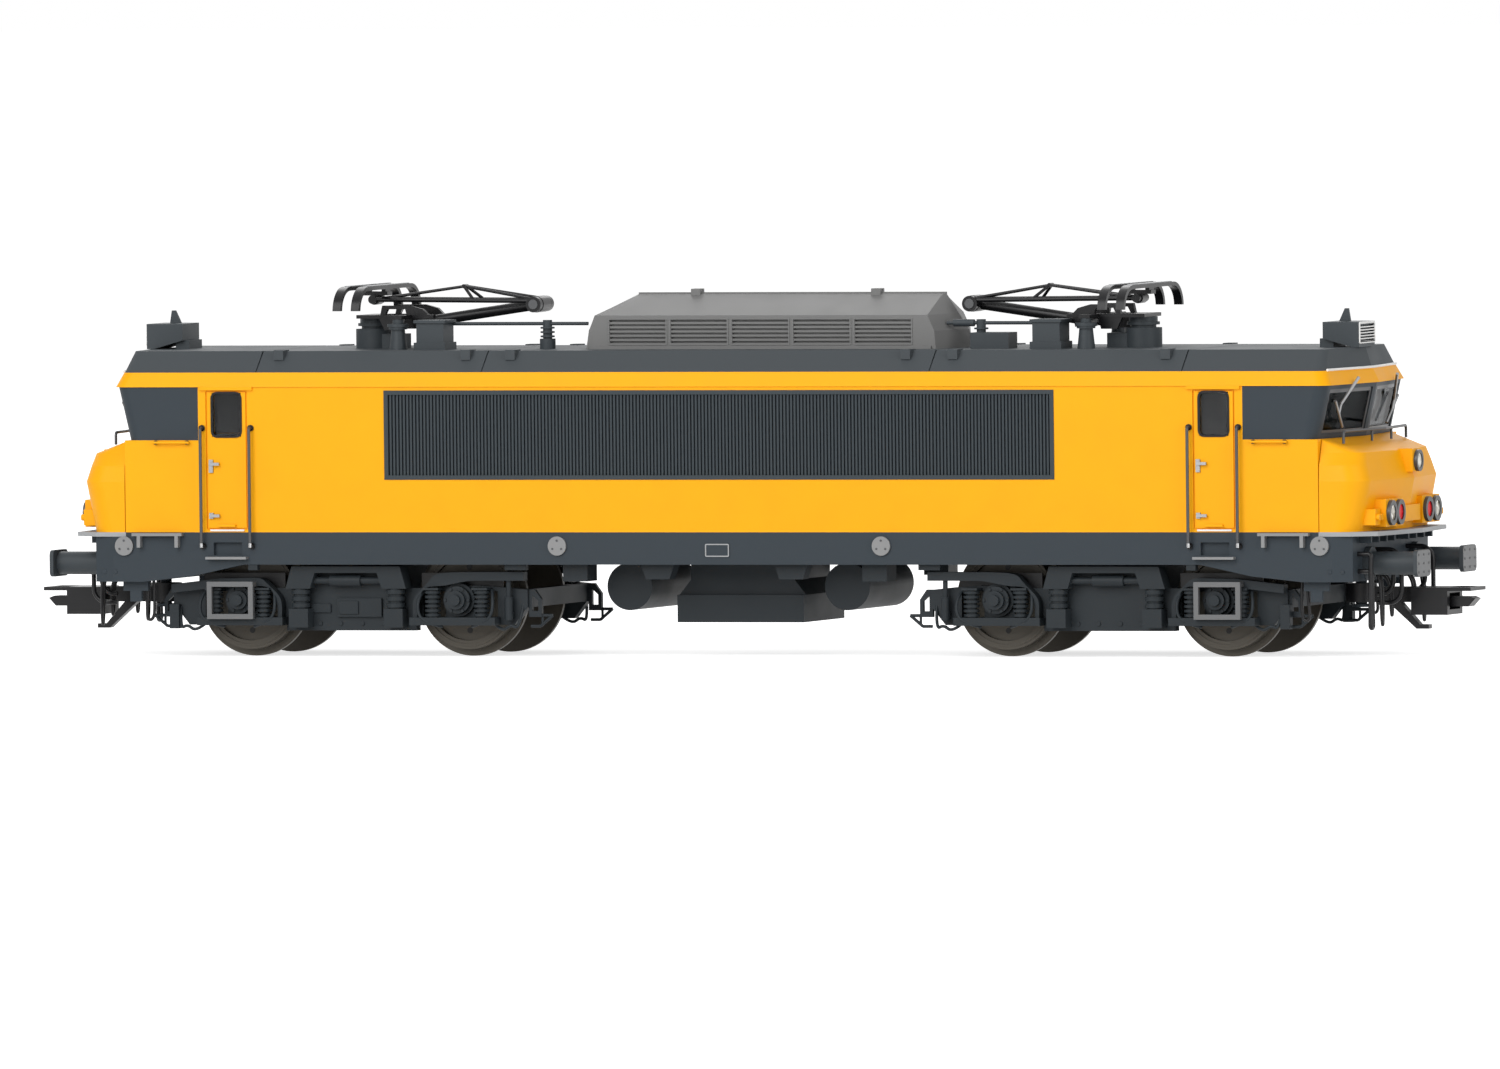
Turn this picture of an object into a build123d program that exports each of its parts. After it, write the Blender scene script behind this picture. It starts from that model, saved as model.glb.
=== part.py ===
from build123d import *
import os

os.makedirs("parts", exist_ok=True)

# A 1:87 scale model of a four-axle electric locomotive, in millimetres.
# X runs along it towards the front cab, Y across it, Z up.
# Heights below are measured up from the rail head. The model's zero is at the
# tips of the wheel flanges, flange_depth lower, so it stands on a flat floor.
flange_depth = 1.0

# Body
half_width = 17.1
wall = 1.2
waist_z = 16.5
seam_x = 87.6
screen_base_z = 29.3
screen_top_z = 36.7
band_top_z = 38.7
roof_z = 41.6
cab_back_x = 76.7
v_drop = 1.9
roof_half = half_width - 4.1

# Doors and door windows
door_x = 72.5
door_w = 5.9
door_base_z = 17.0
door_top_z = 36.1
door_win_w = 4.3
door_win_z0 = 29.8
door_win_z1 = 35.9
groove = 0.24
seam_gap = 0.12

# Windscreens
pane_y0 = 0.9
pane_y1 = half_width - 2.2
pane_z0 = screen_base_z + 0.7
pane_z1 = screen_top_z - 0.6

# Side grilles
grille_half = 49.2
grille_z0 = 23.8
grille_z1 = 36.2
grille_depth = 0.7
grille_frame = 0.6
slat_pitch = 0.5
slat_w = 0.26

# Underframe
sole_z = 12.0
deep_z = 9.6
beam_x = seam_x + 4.7
beam_top_z = waist_z - 0.6
beam_half = half_width - 0.7
taper_x = seam_x + 1.9
sole_wall = 1.4
floor_z = waist_z - 0.9
tank_r = 3.3

# Running gear
bogie_x = 55.7
half_wheelbase = 16.1
tread_r = 7.0
wheel_back_y = 7.2
wheel_w = 2.8
axle_r = 1.0
axle_end_y = 13.4
pin_r = 2.0
run_gap = 0.05
bogie_gap = 0.3
bolster_top_z = sole_z - bogie_gap
bolster_half = half_wheelbase - tread_r - flange_depth - 1.1
panel_half = half_wheelbase - 6.5
frame_in_y = 11.6
frame_out_y = 13.2
frame_base_z = 2.7
beam_base_z = 3.5
arm_end_x = half_wheelbase + 9.9
arm_out_y = 15.0
seat_out_y = 15.7
box_out_y = 15.8
spring_y = 14.55
spring_r = 1.1
spring_dx = 3.6
spring_z0 = 4.6
spring_z1 = 8.4
stack_x = panel_half - 2.6
stack_z0 = 5.8
leg_z = 8.6
ladder_y = 16.6

# Buffers and couplers
buffer_y = 10.05
buffer_z = 12.0
buffer_face_x = 100.45
coupler_x = 88.0
coupler_pin_r = 0.8
coupler_z0 = 6.3
coupler_z1 = 8.9

# Roof equipment
hood_half_y = 7.7
line_y = -4.5
line_z = 45.1
pan_pivot_x = 48.6
pan_pivot_z = 45.3
pan_base_z = 46.3
pan_foot_x = pan_pivot_x + 2.0
drum_x = pan_pivot_x + 8.0
knee_x = pan_pivot_x - 16.5
knee_z = 47.7
head_x = pan_pivot_x + 7.6
head_z = 48.4
pan_pin_r = 0.45
head_pin_r = 0.35

rail = Plane.XY.offset(flange_depth)
front = rail
rear = Plane(origin=rail.origin, x_dir=(-1, 0, 0), z_dir=(0, 0, 1))
ENDS = (("front", front), ("rear", rear))
bogie_front = Plane(origin=(bogie_x, 0, flange_depth), x_dir=(1, 0, 0), z_dir=(0, 0, 1))
bogie_rear = Plane(origin=(-bogie_x, 0, flange_depth), x_dir=(-1, 0, 0), z_dir=(0, 0, 1))
BOGIES = (("front", bogie_front), ("rear", bogie_rear))
SIDES = (1, -1)


def side_view(base, y):
    """Upright plane at y: its x runs along the model and its y up."""
    return Plane(origin=base.origin + base.y_dir * y, x_dir=base.x_dir, z_dir=base.y_dir * -1)


def end_view(base, x):
    """Upright plane at x: its x runs across the model and its y up."""
    return Plane(origin=base.origin + base.x_dir * x, x_dir=base.y_dir, z_dir=base.x_dir)


def block(x0, x1, y0, y1, z0, z1, mode=Mode.ADD):
    """Box between two corners, named in either order."""
    with Locations(((x0 + x1) / 2, (y0 + y1) / 2, (z0 + z1) / 2)):
        Box(abs(x1 - x0), abs(y1 - y0), z1 - z0, mode=mode)


def blocks(centres, dx, dy, dz, mode=Mode.ADD):
    """Like boxes, one at each centre."""
    with Locations(*centres):
        Box(dx, dy, dz, mode=mode)


def post(x, y, z0, z1, r, mode=Mode.ADD):
    """Upright cylinder."""
    with Locations((x, y, (z0 + z1) / 2)):
        Cylinder(r, z1 - z0, mode=mode)


def bar_y(x, z, y0, y1, r, mode=Mode.ADD):
    """Cylinder across the model."""
    with Locations((x, (y0 + y1) / 2, z)):
        Cylinder(r, abs(y1 - y0), rotation=(90, 0, 0), mode=mode)


def bar_x(y, z, x0, x1, r, mode=Mode.ADD):
    """Cylinder along the model."""
    with Locations(((x0 + x1) / 2, y, z)):
        Cylinder(r, abs(x1 - x0), rotation=(0, 90, 0), mode=mode)


def rod(a, b, r):
    """Round rod between two points."""
    start = Vector(*a)
    along = Vector(*b) - start
    with Locations(Plane(origin=start + along * 0.5, z_dir=along).location):
        Cylinder(r, along.length)


def wire(base, points, r, bend):
    """Round wire through a list of points, its corners bent to a radius."""
    path = [base.from_local_coords(Vector(*p)) for p in points]
    with BuildLine() as line:
        FilletPolyline(*path, radius=bend)
    with BuildSketch(Plane(origin=path[0], z_dir=path[1] - path[0])) as section:
        Circle(r)
    sweep(sections=section.sketch, path=line.line)


def prow(base, z, x_back, x_mid, half_y, corner_r, back_half=None):
    """Level outline with a shallow V front and rounded corners, as wide at the back unless told."""
    x_side = x_mid - v_drop * half_y / half_width
    y_back = back_half or half_y
    with BuildSketch(base.offset(z)) as outline:
        Polygon((x_back, -y_back), (x_side, -half_y), (x_mid, 0), (x_side, half_y),
                (x_back, y_back), align=None)
        fillet([v for v in outline.vertices() if abs(v.Y) > 0.01 and v.X > x_back + 0.01], corner_r)
    return outline.sketch


def double_prow(z, x_mid, half_y, corner_r):
    """Level outline of the whole body with a shallow V at both ends."""
    x_side = x_mid - v_drop * half_y / half_width
    with BuildSketch(rail.offset(z)) as outline:
        Polygon((x_side, -half_y), (x_mid, 0), (x_side, half_y),
                (-x_side, half_y), (-x_mid, 0), (-x_side, -half_y), align=None)
        fillet([v for v in outline.vertices() if abs(v.Y) > 0.01], corner_r)
    return outline.sketch


# Body shell: side walls, door grooves and the band that forms the cab visors

DOORS = [(end * door_x, side) for end in SIDES for side in SIDES]
band_lip = 0.2
band_lean = 0.8

with BuildPart(rail) as body_shell:
    block(-seam_x, seam_x, -half_width, half_width, waist_z, screen_base_z)
    block(-cab_back_x, cab_back_x, -half_width, half_width, screen_base_z, screen_top_z)
    loft([double_prow(screen_top_z, seam_x + 3.4, half_width + band_lip, 1.8),
          double_prow(band_top_z, seam_x + 2.4, half_width - band_lean, 1.8)], ruled=True)
    block(-seam_x + wall, seam_x - wall, -half_width + wall, half_width - wall,
          waist_z, screen_base_z, mode=Mode.SUBTRACT)
    block(-cab_back_x, cab_back_x, -half_width + wall, half_width - wall,
          screen_base_z, screen_top_z, mode=Mode.SUBTRACT)
    block(-seam_x + wall, seam_x - wall, -half_width + band_lean + wall, half_width - band_lean - wall,
          screen_top_z, band_top_z, mode=Mode.SUBTRACT)
    for side in SIDES:
        block(-grille_half, grille_half, side * (half_width - grille_depth), side * (half_width + 1),
              grille_z0, grille_z1, mode=Mode.SUBTRACT)
    mid_z = (door_win_z0 + door_win_z1) / 2
    blocks([(x, side * half_width, mid_z) for x, side in DOORS],
           door_win_w, 4 * wall, door_win_z1 - door_win_z0, mode=Mode.SUBTRACT)
    mid_z = (door_base_z + door_top_z) / 2
    blocks([(x + edge * door_w / 2, side * half_width, mid_z) for x, side in DOORS for edge in SIDES],
           groove, 0.5, door_top_z - door_base_z, mode=Mode.SUBTRACT)
    blocks([(x, side * half_width, z) for x, side in DOORS for z in (door_base_z, door_top_z)],
           door_w, 0.5, groove, mode=Mode.SUBTRACT)
    blocks([(x, side * half_width, screen_top_z - 0.2) for x, side in DOORS], door_w + 1.9, 0.8, 0.45)
body_shell.part.label = "body_shell"
export_step(body_shell.part, "parts/body_shell.step")

# Upper cabs with the windscreen openings, and their glazing

CAB_LEVELS = (  # z, x of the middle
    (screen_base_z, seam_x + 1.3),
    (screen_top_z, seam_x + 3.0),
)


def cab_walls(base, inset):
    """Upper cab as a solid, drawn in by inset on the front and the sides."""
    loft([prow(base, z, cab_back_x, x_mid - inset, half_width - inset, 1.8 - 0.6 * inset)
          for z, x_mid in CAB_LEVELS], ruled=True)


for end, base in ENDS:
    with BuildPart(base) as cab:
        cab_walls(base, 0)
        with BuildPart(base, mode=Mode.SUBTRACT) as cab_room:
            cab_walls(base, wall)
        for side in SIDES:
            block(seam_x - 5.0, seam_x + 5.0, side * pane_y0, side * pane_y1, pane_z0, pane_z1,
                  mode=Mode.SUBTRACT)
    cab.part.label = f"cab_{end}"
    export_step(cab.part, f"parts/cab_{end}.step")

with BuildPart() as windscreens:
    for end, base in ENDS:
        with BuildPart(base):
            cab_walls(base, 0.3)
            with BuildPart(base, mode=Mode.SUBTRACT) as screen_room:
                cab_walls(base, 0.9)
            with BuildPart(base, mode=Mode.INTERSECT) as openings:
                for side in SIDES:
                    block(seam_x - 5.0, seam_x + 5.0,
                          side * (pane_y0 + run_gap), side * (pane_y1 - run_gap),
                          pane_z0 + run_gap, pane_z1 - run_gap)
windscreens.part.label = "windscreens"
export_step(windscreens.part, "parts/windscreens.step")

with BuildPart(rail) as door_windows:
    mid_z = (door_win_z0 + door_win_z1) / 2
    blocks([(x, side * (half_width - wall / 2), mid_z) for x, side in DOORS],
           door_win_w - 2 * run_gap, wall / 2, door_win_z1 - door_win_z0 - 2 * run_gap)
door_windows.part.label = "door_windows"
export_step(door_windows.part, "parts/door_windows.step")

# Noses with their lamp housings

NOSE_LEVELS = (  # z, x of the middle, half width in front, half width at the seam, corner radius
    (waist_z, seam_x + 6.9, half_width, half_width, 3.4),
    (waist_z + 7.0, seam_x + 8.3, half_width, half_width, 3.4),
    (waist_z + 9.2, seam_x + 7.6, half_width - 0.5, half_width, 3.4),
    (waist_z + 10.9, seam_x + 7.1, half_width - 2.2, half_width - 0.1, 3.0),
    (screen_base_z, seam_x + 1.6, half_width - 1.6, half_width - 0.8, 0.4),
)
lamp_z = waist_z + 2.46
lamp_x = seam_x + 8.0
lamp_y = 7.95
lamp_gap = 3.5
top_lamp_z = waist_z + 9.36
top_lamp_x = seam_x + 8.7
LAMPS = (  # y, z, face x, rim radius, lens radius, colour
    (lamp_y + lamp_gap / 2, lamp_z, lamp_x, 1.74, 1.1, "white"),
    (lamp_y - lamp_gap / 2, lamp_z, lamp_x, 1.74, 1.1, "red"),
    (-lamp_y + lamp_gap / 2, lamp_z, lamp_x, 1.74, 1.1, "red"),
    (-lamp_y - lamp_gap / 2, lamp_z, lamp_x, 1.74, 1.1, "white"),
    (0.0, top_lamp_z, top_lamp_x, 1.5, 1.05, "white"),
)
rim_d = 0.5
lens_d = 0.3

for end, base in ENDS:
    with BuildPart(base) as nose:
        loft([prow(base, z, seam_x - 3.0, x_mid, half_y, corner_r, back_half)
              for z, x_mid, half_y, back_half, corner_r in NOSE_LEVELS], ruled=True)
        block(seam_x - 4.0, seam_x + seam_gap, -half_width - 1, half_width + 1, waist_z, screen_base_z,
              mode=Mode.SUBTRACT)
        for side in SIDES:
            block(seam_x + 4.0, lamp_x, side * (lamp_y - 3.75), side * (lamp_y + 3.75),
                  lamp_z - 1.9, lamp_z + 1.9)
            block(seam_x + 3.0, lamp_x - 0.7, side * (lamp_y + 3.95), side * (lamp_y + 6.2),
                  lamp_z - 1.6, lamp_z + 0.6)
            for y in (lamp_y + 4.55, lamp_y + 5.6):
                bar_x(side * y, lamp_z - 0.5, seam_x + 6.0, lamp_x - 0.2, 0.45)
        block(seam_x + 4.0, lamp_x - 0.1, -3.6, 3.6, lamp_z - 1.4, lamp_z + 0.8)
        block(seam_x + 4.0, top_lamp_x, -1.9, 1.9, top_lamp_z - 1.5, top_lamp_z + 1.7)
    nose.part.label = f"nose_{end}"
    export_step(nose.part, f"parts/nose_{end}.step")

with BuildPart() as lamp_rims:
    for end, base in ENDS:
        with BuildPart(base):
            for y, z, x, rim_r, lens_r, colour in LAMPS:
                bar_x(y, z, x, x + rim_d, rim_r)
                bar_x(y, z, x, x + rim_d, lens_r, mode=Mode.SUBTRACT)
lamp_rims.part.label = "lamp_rims"
export_step(lamp_rims.part, "parts/lamp_rims.step")

for tone in ("white", "red"):
    with BuildPart() as lenses:
        for end, base in ENDS:
            with BuildPart(base):
                for y, z, x, rim_r, lens_r, colour in LAMPS:
                    if colour == tone:
                        bar_x(y, z, x, x + lens_d, lens_r)
    lenses.part.label = f"lamp_lenses_{tone}"
    export_step(lenses.part, f"parts/lamp_lenses_{tone}.step")

# Side grilles: a framed panel with upright slats

slat_half = grille_half - grille_frame
slat_count = int(2 * slat_half / slat_pitch)
back_y = half_width - grille_depth
valley_y = back_y + 0.25
ridge_y = half_width - 0.05

with BuildPart(rail) as side_grilles:
    for side in SIDES:
        rim_y = half_width + 0.1
        mid_z = (grille_z0 + grille_z1) / 2
        with BuildSketch(side_view(rail, side * (back_y + rim_y) / 2)):
            with Locations((0, mid_z)):
                Rectangle(2 * grille_half, grille_z1 - grille_z0)
                Rectangle(2 * slat_half, grille_z1 - grille_z0 - 2 * grille_frame, mode=Mode.SUBTRACT)
        extrude(amount=(rim_y - back_y) / 2, both=True)
        comb = [(-slat_half, side * back_y), (-slat_half, side * valley_y)]
        for i in range(slat_count):
            x = (i + 0.5 - slat_count / 2) * slat_pitch
            comb += [(x - slat_w / 2, side * valley_y), (x - slat_w / 2, side * ridge_y),
                     (x + slat_w / 2, side * ridge_y), (x + slat_w / 2, side * valley_y)]
        comb += [(slat_half, side * valley_y), (slat_half, side * back_y)]
        with BuildSketch(rail.offset(grille_z0 + grille_frame)):
            with BuildLine():
                Polyline(*comb, close=True)
            make_face()
        extrude(amount=grille_z1 - grille_z0 - 2 * grille_frame, clean=False)
side_grilles.part.label = "side_grilles"
export_step(side_grilles.part, "parts/side_grilles.step")

# Roof with hatch seams and lugs

ROOF_SEAMS = (-68.4, -35.1, 30.7, 67.6)
ROOF_LUGS = (-65.6, -38.0, -31.4, 26.7, 33.6, 64.7)


def roof_form(drop):
    """Roof between the band and the flat top, its top and sides lowered by drop."""
    loft([double_prow(band_top_z, seam_x + 2.3 - drop, half_width - band_lean - 0.1 - drop, 1.6),
          double_prow(roof_z - drop, seam_x + 1.4 - drop, roof_half - 0.4 * drop, 1.2)], ruled=True)


with BuildPart(rail) as roof:
    roof_form(0)
    blocks([(x, side * (roof_half + 0.4), roof_z - 0.55) for x in ROOF_LUGS for side in SIDES],
           1.4, 2.4, 1.4)
    with BuildPart(rail, mode=Mode.SUBTRACT) as seams:
        blocks([(x, 0, (band_top_z + roof_z) / 2) for x in ROOF_SEAMS], 0.2, 2 * half_width,
               roof_z - band_top_z + 1)
        with BuildPart(rail, mode=Mode.SUBTRACT) as under_seams:
            roof_form(0.25)
            block(-seam_x, seam_x, -half_width, half_width, band_top_z - 2, band_top_z)
roof.part.label = "roof"
export_step(roof.part, "parts/roof.step")

# Louvred hood on the roof

HOOD_LEVELS = (  # z, back middle x, back side x, front side x, front middle x, half width
    (roof_z, -25.3, -22.4, 28.8, 31.7, hood_half_y),
    (roof_z + 2.5, -24.9, -22.2, 28.6, 31.1, hood_half_y),
    (roof_z + 4.7, -23.4, -21.3, 27.6, 29.6, hood_half_y),
    (roof_z + 7.5, -17.4, -17.0, 27.4, 27.8, 0.4),
)
louvre_x = -15.0
louvre_pitch_x = 9.02
louvre_w = 8.2
louvre_z = roof_z + 1.0
louvre_pitch_z = 0.585
louvre_h = 0.28

with BuildPart(rail) as roof_hood:
    for low, high in zip(HOOD_LEVELS[:-1], HOOD_LEVELS[1:]):
        for z, xa, xb, xc, xd, half_y in (low, high):
            with BuildSketch(rail.offset(z)):
                Polygon((xa, 0), (xb, -half_y), (xc, -half_y), (xd, 0), (xc, half_y), (xb, half_y),
                        align=None)
        loft(ruled=True)
    block(-17.4, 27.8, -0.25, 0.25, roof_z + 7.4, roof_z + 7.7)
    block(-21.8, 28.2, -hood_half_y - 0.35, hood_half_y + 0.35, roof_z, roof_z + 0.45)
    blocks([(louvre_x + i * louvre_pitch_x, side * hood_half_y, louvre_z + row * louvre_pitch_z)
            for i in range(5) for row in range(6) for side in SIDES],
           louvre_w, 1.2, louvre_h, mode=Mode.SUBTRACT)
roof_hood.part.label = "roof_hood"
export_step(roof_hood.part, "parts/roof_hood.step")

# Air conditioners over the cabs, each with an aerial

ac_x0 = seam_x - 3.7
ac_x1 = seam_x + 1.6
ac_top_z = roof_z + 3.5

with BuildPart() as ac_units:
    for end, base in ENDS:
        with BuildPart(base):
            with BuildSketch(side_view(base, 0)):
                Polygon((ac_x0, roof_z + 1.2), (ac_x1 - 1.0, roof_z), (ac_x1, roof_z), (ac_x1, ac_top_z),
                        (ac_x0, ac_top_z), align=None)
            extrude(amount=3.4, both=True)
            block(ac_x0 - 0.7, ac_x0 + 1.3, -2.6, 2.6, roof_z, roof_z + 1.2)
            blocks([(ac_x1, 0, roof_z + 0.95 + row * 0.4) for row in range(6)], 0.8, 6.0, 0.2,
                   mode=Mode.SUBTRACT)
            with BuildSketch(side_view(base, 0)):
                Polygon((ac_x0 + 1.3, ac_top_z - 0.1), (ac_x0 + 3.0, ac_top_z - 0.1),
                        (ac_x0 + 2.7, ac_top_z + 1.8), (ac_x0 + 2.2, ac_top_z + 1.8), align=None)
            extrude(amount=0.25, both=True)
ac_units.part.label = "ac_units"
export_step(ac_units.part, "parts/ac_units.step")

# Roof line and boxes between the pantographs and the hood

with BuildPart(rail) as roof_line:
    bar_x(line_y, line_z, 29.4, 45.0, 0.25)
    bar_x(line_y, line_z, 30.4, 33.4, 0.5)
    post(34.4, line_y, roof_z, line_z + 0.5, 0.65)
    block(33.4, 39.0, line_y - 1.9, line_y + 1.9, roof_z, roof_z + 2.2)
    bar_x(line_y, line_z, -45.0, -23.4, 0.25)
    post(-29.4, line_y, roof_z, line_z + 0.5, 0.65)
    post(-29.4, line_y, roof_z, roof_z + 1.4, 1.1)
    for x in (-45.3, 45.3):
        block(x - 2.3, x + 2.3, line_y - 4.5, line_y + 0.3, roof_z, roof_z + 1.0)
        block(x - 2.0, x + 2.0, line_y - 4.2, line_y, roof_z + 1.0, roof_z + 3.7)
        block(x - 2.3, x + 2.3, line_y - 4.5, line_y + 0.3, roof_z + 3.7, roof_z + 4.1)
roof_line.part.label = "roof_line"
export_step(roof_line.part, "parts/roof_line.step")

# Pantographs: base on insulators, lower arm, upper arm and head

rail_z0 = pan_base_z - 0.5
cone_z = roof_z + 2.8

with BuildPart() as pan_insulators:
    for end, base in ENDS:
        with BuildPart(base):
            for y in (7.0, -7.0):
                with Locations((pan_foot_x, y, (roof_z + cone_z) / 2)):
                    Cone(1.25, 0.95, cone_z - roof_z)
                post(pan_foot_x, y, cone_z, cone_z + 0.35, 1.3)
                post(pan_foot_x, y, cone_z + 0.35, cone_z + 0.75, 1.5)
                post(pan_foot_x, y, cone_z + 0.75, rail_z0, 0.75)
            post(drum_x, 0, roof_z, cone_z - 0.1, 2.6)
            post(drum_x, 0, cone_z - 0.1, cone_z + 0.3, 1.8)
            post(drum_x, 0, cone_z + 0.3, cone_z + 0.7, 2.3)
            post(drum_x, 0, cone_z + 0.7, rail_z0, 2.0)
            block(drum_x - 4.7, drum_x, -1.9, 1.9, roof_z, cone_z - 0.8)
pan_insulators.part.label = "pan_insulators"
export_step(pan_insulators.part, "parts/pan_insulators.step")

brace_x = knee_x + 11.0
brace_z = 50.2
strip_z = head_z + 2.0

for end, base in ENDS:
    with BuildPart(base) as pan_base:
        for side in SIDES:
            block(pan_foot_x - 0.8, pan_foot_x + 0.8, side * 3.4, side * 7.8, rail_z0, pan_base_z)
            block(pan_pivot_x - 2.0, drum_x + 1.4, side * 2.6, side * 3.6, rail_z0, pan_base_z)
            with BuildSketch(side_view(base, side * 3.1)):
                x = pan_pivot_x
                Polygon((x - 1.2, pan_base_z), (x + 1.4, pan_base_z), (x + 0.9, pan_pivot_z - 0.8),
                        (x - 0.8, pan_pivot_z - 0.8), align=None)
                Polygon((x + 2.3, pan_base_z), (x + 6.3, pan_base_z), (x + 5.3, rail_z0 - 1.6),
                        (x + 3.0, rail_z0 - 1.6), align=None)
                Polygon((x - 1.7, rail_z0), (x - 0.4, pan_base_z + 0.8), (x + 1.4, pan_base_z + 1.3),
                        (x + 5.6, pan_base_z + 1.3), (x + 6.0, rail_z0), align=None)
                Polygon((x + 2.0, pan_base_z), (x + 5.2, pan_base_z), (x + 4.8, pan_base_z + 0.8),
                        (x + 2.2, pan_base_z + 0.8), align=None, mode=Mode.SUBTRACT)
            extrude(amount=0.4, both=True)
        block(drum_x - 1.4, drum_x + 1.4, -3.6, 3.6, rail_z0, pan_base_z)
        bar_y(pan_pivot_x, pan_pivot_z, -3.5, 3.5, pan_pin_r)
    pan_base.part.label = f"pan_base_{end}"
    export_step(pan_base.part, f"parts/pan_base_{end}.step")

    with BuildPart(base) as lower_arm:
        rod((pan_pivot_x, 0, pan_pivot_z), (knee_x, 0, knee_z), 0.75)
        bar_y(pan_pivot_x, pan_pivot_z, -2.4, 2.4, 0.95)
        bar_y(knee_x, knee_z, -1.6, 1.6, 1.15)
        bar_y(pan_pivot_x, pan_pivot_z, -2.6, 2.6, pan_pin_r + run_gap, mode=Mode.SUBTRACT)
        bar_y(knee_x, knee_z, -2.6, 2.6, pan_pin_r + run_gap, mode=Mode.SUBTRACT)
    lower_arm.part.label = f"pan_lower_arm_{end}"
    export_step(lower_arm.part, f"parts/pan_lower_arm_{end}.step")

    with BuildPart(base) as upper_arm:
        bar_y(knee_x, knee_z, -2.8, 2.8, pan_pin_r)
        for side in SIDES:
            bar_y(knee_x, knee_z, side * 1.8, side * 2.8, 1.1)
            rod((knee_x, side * 2.3, knee_z + 0.5), (head_x, side * 1.6, head_z), 0.33)
            rod((knee_x, side * 2.3, knee_z + 0.7), (brace_x, side * 0.5, brace_z), 0.2)
            rod((brace_x, side * 0.5, brace_z), (head_x, side * 1.6, head_z), 0.2)
            rod((brace_x, side * 0.5, brace_z), (brace_x - 1.8, side * 2.0, knee_z + 0.8), 0.22)
            bar_y(head_x, head_z, side * 1.2, side * 2.0, 0.6)
        bar_y(brace_x, brace_z, -0.7, 0.7, 0.3)
        bar_y(head_x, head_z, -2.0, 2.0, head_pin_r)
    upper_arm.part.label = f"pan_upper_arm_{end}"
    export_step(upper_arm.part, f"parts/pan_upper_arm_{end}.step")

    with BuildPart(base) as pan_head:
        bar_y(head_x, head_z, -1.1, 1.1, 0.75)
        bar_y(head_x, head_z, -1.2, 1.2, head_pin_r + run_gap, mode=Mode.SUBTRACT)
        block(head_x - 1.9, head_x + 1.9, -1.0, 1.0, head_z + 0.55, head_z + 1.1)
        for x in (head_x - 1.35, head_x + 1.35):
            with BuildSketch(end_view(base, x)):
                with BuildLine():
                    outer = Spline((8.6, strip_z), (11.8, strip_z - 1.1), (12.9, strip_z - 3.3),
                                   tangents=((1, 0), (0.1, -1)))
                    Line(outer @ 1, (12.2, strip_z - 3.3))
                    inner = Spline((12.2, strip_z - 3.3), (11.3, strip_z - 1.5), (8.6, strip_z - 0.55),
                                   tangents=((-0.1, 1), (-1, 0)))
                    Line(inner @ 1, (0, strip_z - 0.55))
                    Line((0, strip_z - 0.55), (0, strip_z))
                    Line((0, strip_z), outer @ 0)
                make_face()
                mirror(about=Plane.YZ)
            extrude(amount=0.6, both=True)
            block(x - 0.3, x + 0.3, -1.0, 1.0, head_z + 0.9, strip_z - 0.5)
    pan_head.part.label = f"pan_head_{end}"
    export_step(pan_head.part, f"parts/pan_head_{end}.step")

# Underframe with solebars, buffer beams and the pivot pins

ramp_x = bogie_x + half_wheelbase
well_in_x = bogie_x - arm_end_x - 5.7
well_out_x = bogie_x + arm_end_x + 2.9
SOLE = ((beam_x, beam_top_z), (beam_x, deep_z), (ramp_x + 13.4, deep_z), (ramp_x + 6.0, deep_z + 0.8),
        (ramp_x - 1.5, sole_z))

with BuildPart(rail) as underframe:
    with BuildSketch(side_view(rail, 0)):
        outline = [(seam_x, waist_z), (seam_x, beam_top_z), *SOLE]
        Polygon(*outline, *[(-x, z) for x, z in reversed(outline)], align=None)
    extrude(amount=half_width, both=True)
    with BuildSketch(rail.offset(deep_z - 1)):
        plan = [(taper_x, -half_width), (beam_x, -beam_half), (beam_x, beam_half), (taper_x, half_width)]
        Polygon(*plan, *[(-x, -y) for x, y in plan], align=None)
    extrude(amount=waist_z - deep_z + 2, mode=Mode.INTERSECT)
    blocks([(x, side * half_width, sole_z + 2.2) for x, side in DOORS], 4.2, 1.4, 1.8, mode=Mode.SUBTRACT)
    for end in SIDES:
        y = half_width - sole_wall
        block(end * well_in_x, end * well_out_x, -y, y, deep_z - 1, floor_z, mode=Mode.SUBTRACT)
        post(end * bogie_x, 0, sole_z, floor_z, 4.0)
        post(end * bogie_x, 0, sole_z - 5.8, sole_z, pin_r)
        post(end * coupler_x, 0, coupler_z0 - 0.7, deep_z, coupler_pin_r)
        post(end * coupler_x, 0, coupler_z0 - 0.7, coupler_z0 - 0.3, coupler_pin_r + 0.5)
underframe.part.label = "underframe"
export_step(underframe.part, "parts/underframe.step")

with BuildPart(rail) as motor_block:
    block(-22.0, 22.0, -9.0, 9.0, waist_z, waist_z + 17.5)
motor_block.part.label = "motor_block"
export_step(motor_block.part, "parts/motor_block.step")

with BuildPart() as cab_inside:
    for end, base in ENDS:
        with BuildPart(base):
            y = half_width - 2.6
            block(cab_back_x - 10.7, cab_back_x - 9.9, -y, y, waist_z, band_top_z)
            block(cab_back_x - 9.9, cab_back_x + 6.3, -y, y, waist_z, waist_z + 8.0)
            block(cab_back_x + 2.8, seam_x - 2.0, -y, y, waist_z + 8.0, screen_base_z - 0.1)
            block(cab_back_x - 3.7, cab_back_x - 0.2, 3.0, 7.0, waist_z + 8.0, waist_z + 10.5)
            block(cab_back_x - 4.3, cab_back_x - 3.7, 3.0, 7.0, waist_z + 8.0, waist_z + 15.5)
cab_inside.part.label = "cab_inside"
export_step(cab_inside.part, "parts/cab_inside.step")

# End platforms, buffers and couplers

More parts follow.
